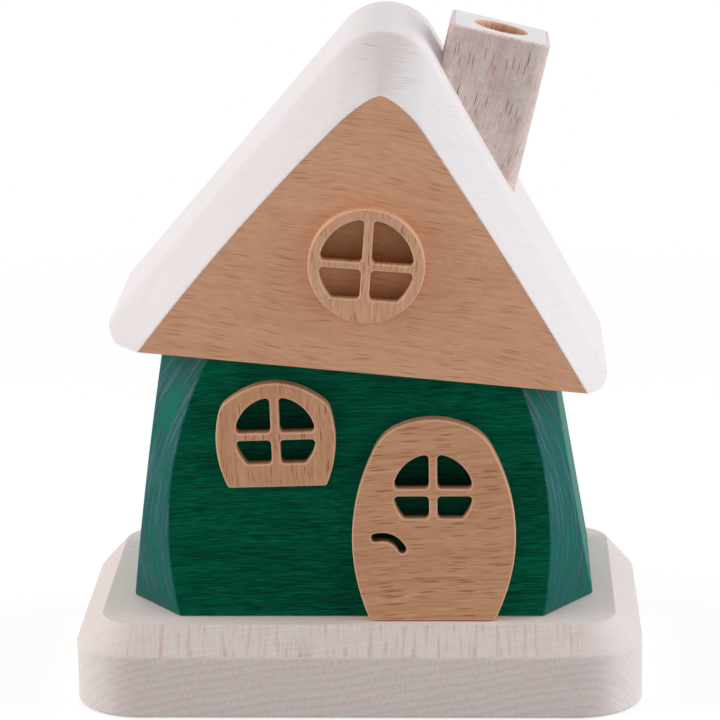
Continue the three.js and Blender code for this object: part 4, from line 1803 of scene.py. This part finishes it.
@dataclass
class Chimney:
    """The leaning stack, cut to the right slope and bored for the flue."""

    plan: Plan
    width: float = 21.8
    depth: float = 20.9
    edge_radius: float = 1.8
    worn_radius: float = 3.0  # The rounding of the edge at the right of the front
    top_ease: float = 0.55  # The rounding of its upper arris
    sink: float = 0.05  # How deep the glued foot bites into the slope
    flats: Pair = (0.4, 0.3)  # The even strips under and inside the upper arris
    mouth_bevel: float = 0.25  # The bevel of the flue's mouth
    mouth_depth: float = 1.0  # How far down the mouth's lighter arris colour, wear and painted highlight, fades
    flue_steps: int = 64

    def foot(self, loop: Loop) -> Loop:
        """Drops an outline onto the slope.

        Args:
            loop: The outline in the plane of the chimney's top.

        Returns:
            Its points where they meet the slope, in the chimney's frame.
        """
        plan = self.plan
        back = plan.chimney_frame.inverted() @ plan.roof_frame
        reach = plan.roof_feet[1]
        up = back.to_3x3() @ Vector((plan.roof_rise, 0, reach)).normalized()
        eave = back @ Vector((plan.ridge_x + reach, 0, 0)) - up * self.sink
        return [Vector((p.x, p.y, (up.dot(eave) - up.x * p.x - up.y * p.y) / up.z)) for p in loop]

    def build(self) -> Piece:
        """Builds the stack.

        Returns:
            The stack, whose finishes are for its sides, its bore and its top.
        """
        x, y, ease = self.width / 2, self.depth / 2, self.top_ease
        radii = (self.edge_radius, self.worn_radius, self.edge_radius, self.edge_radius)
        spots = ((-x, -y), (x, -y), (x, y), (-x, y))
        square = outline([Corner(*spot, radius) for spot, radius in zip(spots, radii)], corner_steps=8)
        crown = quarter_round(ease)
        below, inside = self.flats
        outer = [self.foot(square), lying(square, -ease - below),
                 *(lying(inset(square, into), -drop) for into, drop, _ in crown),
                 lying(inset(square, ease + inside), 0)]
        # The upper arris gets wear and a painted highlight where it sticks out
        wear_and_highlight = [0, 0, *(max(0.4, out ** 0.5) for _, _, out in crown), 0]
        skin = Skin()
        sides = skin.stack(outer, wear_and_highlight=wear_and_highlight)
        hole = circle(self.plan.flue_radius, self.flue_steps)
        mouth = circle(self.plan.flue_radius + self.mouth_bevel, self.flue_steps)
        down = [lying(hole, -self.mouth_bevel), lying(hole, -self.mouth_depth), self.foot(hole)]
        walls = skin.stack([lying(mouth, 0), *down], finish=1, wear_and_highlight=[0.6, 0.4, 0, 0])
        skin.lid(sides[-1], walls[0], finish=2)
        skin.lid(sides[0], walls[-1], finish=1)
        return add_object(skin.mesh("leaning_chimney", self.plan.chimney_frame))

    def dress(self) -> None:
        """Builds and finishes the stack."""
        up = tuple(self.plan.chimney_frame.to_3x3() @ UP)
        grain = Grain((33, -1, 130), up, (0.1, 1, 0), heart=60, ring=2.4, wander=5.0, ray_length=10.0,
                      ray_gap=0.6, ray_core=0.24, seed=6.0)
        wood = [
            WhiteGlaze("chimney_white_glaze", glaze=paint(232, 222, 222), wood=paint(192, 146, 122),
                       ray=paint(96, 58, 48), edge=paint(232, 214, 206), cover=0.66, end_cover=0.8,
                       ray_show=0.75, late_show=0.1, fibre_show=1.3, patch_show=0.9, edge_show=0.6,
                       chip_show=0.5),
            BareBeech("chimney_bare_bore", pale=paint(250, 220, 198), warm=paint(234, 190, 160),
                      deep=paint(196, 128, 88)),
            WhiteGlaze("chimney_white_top", glaze=paint(239, 237, 240), cover=0.92, end_cover=0.94,
                       ray_show=0.1, late_show=0.05, fibre_show=0.2),
        ]
        finishes = [finish.make(grain) for finish in wood]
        seat(self.build(), finishes, Body.HOUSE, Slot.GLAZED_CHIMNEY, "chimney", crease=50)


@dataclass(frozen=True)
class Panes:
    """The four panes of a round light: a circle with a flat sill, crossed by two bars."""

    radius: float  # The circle's radius
    sill: float  # How far below its middle the sill lies
    upright: float  # The width of the upright bar
    cross: float  # The width of the cross bar
    x: float = 0.0  # The middle's place across
    y: float = 0.0  # The middle's place up
    corner: float = 0.9  # The rounding of the panes' corners
    arc_steps: tuple[int, int] = (12, 6)  # The steps along the circle of an upper and a lower pane

    def loops(self) -> list[Loop]:
        """Draws the four panes.

        Returns:
            Their outlines.
        """
        up, across, ease = self.upright / 2, self.cross / 2, self.corner

        def reach(other: float) -> float:
            """How far the circle reaches at an offset from its middle."""
            return sqrt(self.radius ** 2 - other ** 2)

        def arc(start: float, end: float, steps: int) -> list[Corner]:
            """The circle's points between two angles."""
            angles = [start + (end - start) * i / steps for i in range(1, steps)]
            return [Corner(self.radius * cos(a), self.radius * sin(a)) for a in angles]

        bar = asin(across / self.radius)
        upper_steps, lower_steps = self.arc_steps
        upper = [Corner(up, across, ease), Corner(reach(across), across, ease),
                 *arc(bar, acos(up / self.radius), upper_steps), Corner(up, reach(up), ease)]
        lower = [Corner(up, -across, ease), Corner(up, -self.sill, ease),
                 Corner(reach(self.sill), -self.sill, ease),
                 *arc(-asin(self.sill / self.radius), -bar, lower_steps),
                 Corner(reach(across), -across, ease)]
        panes = []
        for pane in (upper, lower):
            panes.append([Corner(self.x + c.x, self.y + c.y, c.radius) for c in pane])
            panes.append([Corner(self.x - c.x, self.y + c.y, c.radius) for c in reversed(pane)])
        return [outline(pane) for pane in (panes[0], panes[2], panes[1], panes[3])]


@dataclass
class SheetTrim:
    """A piece cut from thin sheet and glued on a wall: the windows and the door."""

    name: str
    node: str  # The solid that it stands for
    place: Matrix  # The frame on the wall that its outline is drawn in
    rim: Loop
    lights: list[Loop]  # The outlines of what is cut through it
    grain: Grain  # How its sheet was cut
    wood: BareBeech  # Its finish
    thickness: float = 3.3
    ease: float = 0.38  # The rounding of its front arrises
    sink: float = 0.03  # How deep the glued back bites into the wall
    flats: Pair = (0.25, 0.12)  # The even strips behind and inside a front arris

    def side(self, skin: Skin, loop: Loop, direction: int) -> list[list[int]]:
        """Builds the wall of an outline, from the back to the flat of the front.

        Args:
            skin: The mesh under way.
            loop: The outline.
            direction: 1 for the rim and -1 for an opening.

        Returns:
            The rings of the wall.
        """
        front, (behind, inside) = -self.thickness, self.flats
        arris = quarter_round(self.ease)
        rings = [standing(loop, self.sink), standing(loop, front + self.ease + behind),
                 *(standing(inset(loop, direction * into), front + drop) for into, drop, _ in arris),
                 standing(inset(loop, direction * (self.ease + inside)), front)]
        # The front arris gets wear and a painted highlight where it sticks out
        return skin.stack(rings, wear_and_highlight=[0, 0, *(0.35 + 0.65 * out for _, _, out in arris), 0])

    def dress(self) -> None:
        """Builds and finishes the piece."""
        skin = Skin()
        sides = [self.side(skin, self.rim, 1), *(self.side(skin, loop, -1) for loop in self.lights)]
        for end in (-1, 0):
            skin.lid(*(rings[end] for rings in sides))
        piece = add_object(skin.mesh(self.name, self.place))
        seat(piece, [self.wood.make(self.grain)], Body.HOUSE, Slot.BARE, self.node, crease=50)


@dataclass(frozen=True)
class HandleSlot:
    """The drooping slot with round ends that serves as the door's handle."""

    x: float = -9.4  # Its middle, across
    y: float = 17.55  # Its middle, up
    length: float = 6.4
    rise: float = 1.2  # How far its middle stands above its ends
    width: float = 1.9  # Its width
    turn: float = -24.0  # Its turn in degrees, anticlockwise
    side_steps: int = 16
    end_steps: int = 10  # The steps round an end

    def spot(self, share: float) -> Vector:
        """A point of the slot's middle line, from -1 at its left end to 1."""
        return Vector((self.length / 2 * share, self.rise * (1 - share * share)))

    def square_to(self, share: float) -> Vector:
        """The way from the middle line to the upper side, as long as that."""
        return Vector((2 * self.rise * share, self.length / 2)).normalized() * (self.width / 2)

    def loop(self) -> Loop:
        """Draws the slot.

        Returns:
            Its outline, anticlockwise.
        """
        shares = [1 - 2 * i / self.side_steps for i in range(self.side_steps + 1)]
        clockwise = []
        for sign, line in ((1, shares[::-1]), (-1, shares)):
            clockwise += [self.spot(t) + self.square_to(t) * sign for t in line]
            start, turns = self.square_to(sign) * sign, range(1, self.end_steps)
            clockwise += [self.spot(sign) + turned_by(start, -pi * i / self.end_steps) for i in turns]
        return [turned_by(p, radians(self.turn)) + Vector((self.x, self.y)) for p in reversed(clockwise)]


@dataclass
class Trims:
    """The round gable window, the arched front window and the egg-shaped door."""

    plan: Plan
    gable_turn: float = -1.1  # How far the gable window is turned clockwise, in degrees
    gable_radius: float = 12.4
    gable_panes: Panes = Panes(10.1, 7.2, 2.0, 1.6, y=-0.05)
    gable_steps: int = 128
    window_turn: float = -1.4  # How far the front window is turned
    window_panes: Panes = Panes(8.8, 6.1, 1.9, 1.7)
    door_at: Pair = (16.4, 0.2)  # The foot of the door in the house's frame
    door_panes: Panes = Panes(8.7, 5.9, 1.8, 1.7, x=0.3, y=29.1)
    handle: HandleSlot = HandleSlot()

    def place(self, base: Matrix, at: Pair, y: float, turn: float = 0.0) -> Matrix:
        """A frame on a wall, turned clockwise by that many degrees."""
        return base @ Matrix.Translation((at[0], y, at[1])) @ Matrix.Rotation(radians(turn), 4, "Y")

    def gable_window(self) -> SheetTrim:
        """Plans the round window in the gable.

        Returns:
            The window.
        """
        plan = self.plan
        place = self.place(plan.roof_frame, plan.gable_window_at, plan.gable_front, self.gable_turn)
        fibres = tuple(place.to_3x3() @ Vector((0.02, 0, 1)))
        grain = Grain((3, -35, 100), fibres, (0.15, 1, 0), heart=40, ray_length=6.5, seed=7.0)
        # Its sills get painted shade
        wood = BareBeech("gable_window_beech", pale=paint(243, 205, 173), warm=paint(224, 177, 143),
                         deep=paint(203, 139, 98), ray=paint(158, 90, 54), recess_shade=paint(190, 165, 140),
                         openings=plan.gable_openings, on_sill=True)
        rim, lights = circle(self.gable_radius, self.gable_steps), self.gable_panes.loops()
        return SheetTrim("round_window", "gable_window", place, rim, lights, grain, wood)

    def front_window(self) -> SheetTrim:
        """Plans the arched window beside the door.

        Returns:
            The window.
        """
        plan = self.plan
        place = self.place(plan.house_frame, plan.front_window_at, plan.house_front, self.window_turn)
        rim = outline([
            Corner(-10.6, -11.3, 0.7),
            Corner(10.6, -11.3, 0.7, bulge=1.75),
            Corner(11.6, 6.9, 4.5, bulge=4.95),
            Corner(-11.6, 6.9, 4.5, bulge=1.75),
        ], edge_steps=24, corner_steps=8)
        fibres = tuple(place.to_3x3() @ Vector((-0.02, 0, 1)))
        grain = Grain((-17, -31, 62), fibres, (-0.2, 1, 0), heart=45, ray_length=6.5, seed=8.0)
        # Its sills get painted shade
        wood = BareBeech("front_window_beech", pale=paint(231, 186, 152), warm=paint(212, 160, 125),
                         deep=paint(189, 127, 87), ray=paint(148, 80, 46), recess_shade=paint(89, 124, 97),
                         openings=plan.window_openings, on_sill=True)
        lights = self.window_panes.loops()
        return SheetTrim("arched_window", "front_window", place, rim, lights, grain, wood)

    def door(self) -> SheetTrim:
        """Plans the egg-shaped door with its panes and its handle.

        Returns:
            The door.
        """
        place = self.place(self.plan.house_frame, self.door_at, self.plan.house_front)
        rim = outline([
            Corner(-13.6, 0.0, 1.2),
            Corner(13.6, 0.0, 1.2, bulge=5.6),
            Corner(11.4, 41.9, 10.0, bulge=3.6),
            Corner(-10.7, 41.9, 10.0, bulge=5.1),
        ], edge_steps=32, corner_steps=10)
        grain = Grain((16, -31, 42), (1, 0, 0.085), (0.05, 1, 0.1), heart=60, ring=3.2, wander=5.0,
                      ray_length=8.0, ray_gap=0.7, ray_core=0.33, seed=9.0)
        # Its sills get painted shade
        wood = BareBeech("door_beech", pale=paint(231, 188, 153), warm=paint(211, 160, 124),
                         deep=paint(185, 122, 83), ray=paint(154, 92, 57), recess_shade=paint(89, 124, 97),
                         openings=self.plan.door_openings, on_sill=True)
        lights = [*self.door_panes.loops(), self.handle.loop()]
        return SheetTrim("egg_door", "door", place, rim, lights, grain, wood)

    def dress(self) -> None:
        """Builds and finishes all three."""
        for trim in (self.gable_window(), self.front_window(), self.door()):
            trim.dress()


@dataclass
class Softbox:
    """A soft lamp that looks at the middle of the house."""

    name: str
    place: Triple  # Where it stands, in metres
    size: Pair  # Its width and height, in metres
    power: float  # Its power, in watts
    tint: Triple = (1.0, 1.0, 1.0)

    def hang(self, target: Vector) -> None:
        """Hangs the lamp.

        Args:
            target: What it looks at, in metres.
        """
        lamp = bpy.data.lights.new(self.name, "AREA")
        lamp.shape = "RECTANGLE"
        lamp.size, lamp.size_y = self.size
        lamp.energy = self.power
        lamp.color = self.tint
        holder = bpy.data.objects.new(self.name, lamp)
        bpy.context.scene.collection.objects.link(holder)
        holder.location = self.place
        holder.rotation_euler = (target - holder.location).to_track_quat("-Z", "Y").to_euler()


@dataclass
class Studio:
    """The pale floor, the soft light and the camera."""

    # Where the camera stands, in millimetres
    camera_place: Triple = (27.5, -705.3, 259.0)
    yaw: float = -2.23  # How far it looks to the left, in degrees
    pitch: float = 14.97  # How far it looks down
    roll: float = -0.74  # How far it is rolled
    lens: float = 163.25  # Its focal length, in millimetres
    sensor: float = 36.0  # The width of its sensor, in millimetres
    world_level: float = 0.18  # The strength of the light from all around
    floor_reach: float = 1600.0  # How far the floor reaches each way, in millimetres
    floor_corner: float = 400.0  # The rounding of its corners, in millimetres
    floor_drop: float = 0.2  # How far it lies below the base plate, in millimetres
    floor_tone: float = 0.5  # How pale its paper is, from 0 to 1
    floor_glow: float = 0.6  # How strongly the paper shines close to the house
    # Between which distances from the house's middle its shadow fades out, in metres
    shadow_fade: Pair = (0.12, 0.45)
    lamp_target: Triple = (0.0, 0.0, 0.07)  # What the lamps look at, in metres
    # The soft lamps
    lamps: list[Softbox] = field(default_factory=lambda: [
        Softbox("left_softbox", (-0.8, -0.1, 0.3), (0.6, 0.8), 5.2, tint=(1.0, 0.975, 0.965)),
        Softbox("right_softbox", (0.8, 0.0, 0.3), (0.6, 0.8), 4.6, tint=(0.95, 0.985, 1.03)),
        Softbox("low_right_softbox", (0.7, -0.5, 0.12), (0.5, 0.3), 1.3),
        Softbox("low_left_softbox", (-0.7, -0.5, 0.12), (0.5, 0.3), 0.5),
        Softbox("top_softbox", (0.0, 0.05, 0.95), (0.9, 0.9), 3.15),
        Softbox("front_softbox", (0.0, -1.0, 0.5), (0.5, 0.5), 0.8),
    ])

    @staticmethod
    def seen(bench: Bench) -> Socket:
        """Works out what the camera sees, straight or in a gloss or a glass.

        Args:
            bench: The bench of the tree that needs it.

        Returns:
            A mask.
        """
        kinds = ("Camera", "Glossy", "Transmission")
        camera, gloss, glass = (
            bench.node("ShaderNodeLightPath", output=f"Is {kind} Ray") for kind in kinds
        )
        return camera.most(gloss).most(glass)

    def set_world(self) -> None:
        """Lights the room evenly; the camera itself sees plain white."""
        world = bpy.data.worlds.new("white_room")
        world.use_nodes = True
        bpy.context.scene.world = world
        bench = Bench(world.node_tree)
        white = (1, 1, 1, 1)
        light = bench.node("ShaderNodeBackground", None, {"Color": white, "Strength": self.world_level})
        shown = bench.node("ShaderNodeBackground", None, {"Color": white, "Strength": 1.0})
        mixed = bench.node("ShaderNodeMixShader", None, {0: self.seen(bench), 1: light, 2: shown})
        bench.end(mixed, "ShaderNodeOutputWorld")

    def lay_floor(self) -> None:
        """Lays the floor, which looks white but for the shadow close to the house."""
        width, tone, corner_steps = 2 * self.floor_reach, self.floor_tone, 8
        rim = rounded_rectangle(width, width, self.floor_corner, corner_steps)
        skin = Skin()
        skin.faces.append((skin.ring(lying(rim, -self.floor_drop)), 0))
        floor = add_object(skin.mesh("pale_floor"))
        material, bench = new_material("pale_floor_paper")
        plain, pale = (1, 1, 1, 1), (tone, tone, tone, 1)
        values = {"Base Color": pale, "Roughness": 0.9, "Specular IOR Level": 0.0}
        paper = bench.node("ShaderNodeBsdfPrincipled", None, values)
        glow = bench.node("ShaderNodeEmission", None, {"Color": plain, "Strength": self.floor_glow})
        near = bench.node("ShaderNodeAddShader", None, {0: paper, 1: glow})
        white = bench.node("ShaderNodeEmission", None, {"Color": plain, "Strength": 1.0})
        place = bench.node("ShaderNodeTexCoord", output="Object")
        away = bench.node("ShaderNodeVectorMath", {"operation": "LENGTH"}, {0: place}, "Value")
        faded = away.rise(*self.shadow_fade)
        looks = bench.node("ShaderNodeMixShader", None, {0: faded, 1: near, 2: white})
        bench.end(bench.node("ShaderNodeMixShader", None, {0: self.seen(bench), 1: paper, 2: looks}))
        floor.data.materials[0] = material

    def set_camera(self) -> None:
        """Stands the camera before the house, a little above it."""
        yaw, pitch, roll = (radians(a) for a in (self.yaw, self.pitch, self.roll))
        forward = Vector((sin(yaw) * cos(pitch), cos(yaw) * cos(pitch), -sin(pitch)))
        level = forward.cross(UP).normalized()
        upright = level.cross(forward)
        right = level * cos(roll) + upright * sin(roll)
        top = upright * cos(roll) - level * sin(roll)
        camera = bpy.data.objects.new("camera", bpy.data.cameras.new("camera"))
        bpy.context.scene.collection.objects.link(camera)
        camera.data.lens = self.lens
        camera.data.sensor_width = self.sensor
        turn = Matrix((right, top, -forward)).transposed().to_4x4()
        camera.matrix_world = Matrix.Translation(Vector(self.camera_place) * MM) @ turn
        bpy.context.scene.camera = camera

    def build(self) -> None:
        """Sets up everything but the house."""
        self.set_world()
        self.lay_floor()
        for lamp in self.lamps:
            lamp.hang(Vector(self.lamp_target))
        self.set_camera()
        bpy.context.scene.view_settings.view_transform = "Standard"


def main() -> None:
    """Builds the house piece by piece, from the table up."""
    logging.basicConfig(level=logging.INFO, format="%(message)s")
    plan = Plan()
    Studio().build()
    BasePlate(plan).dress()
    Burner(plan).dress()
    HouseBody(plan).dress()
    Dowels(plan).dress()
    Roof(plan).dress()
    Chimney(plan).dress()
    Trims(plan).dress()


if __name__ == "__main__":
    main()
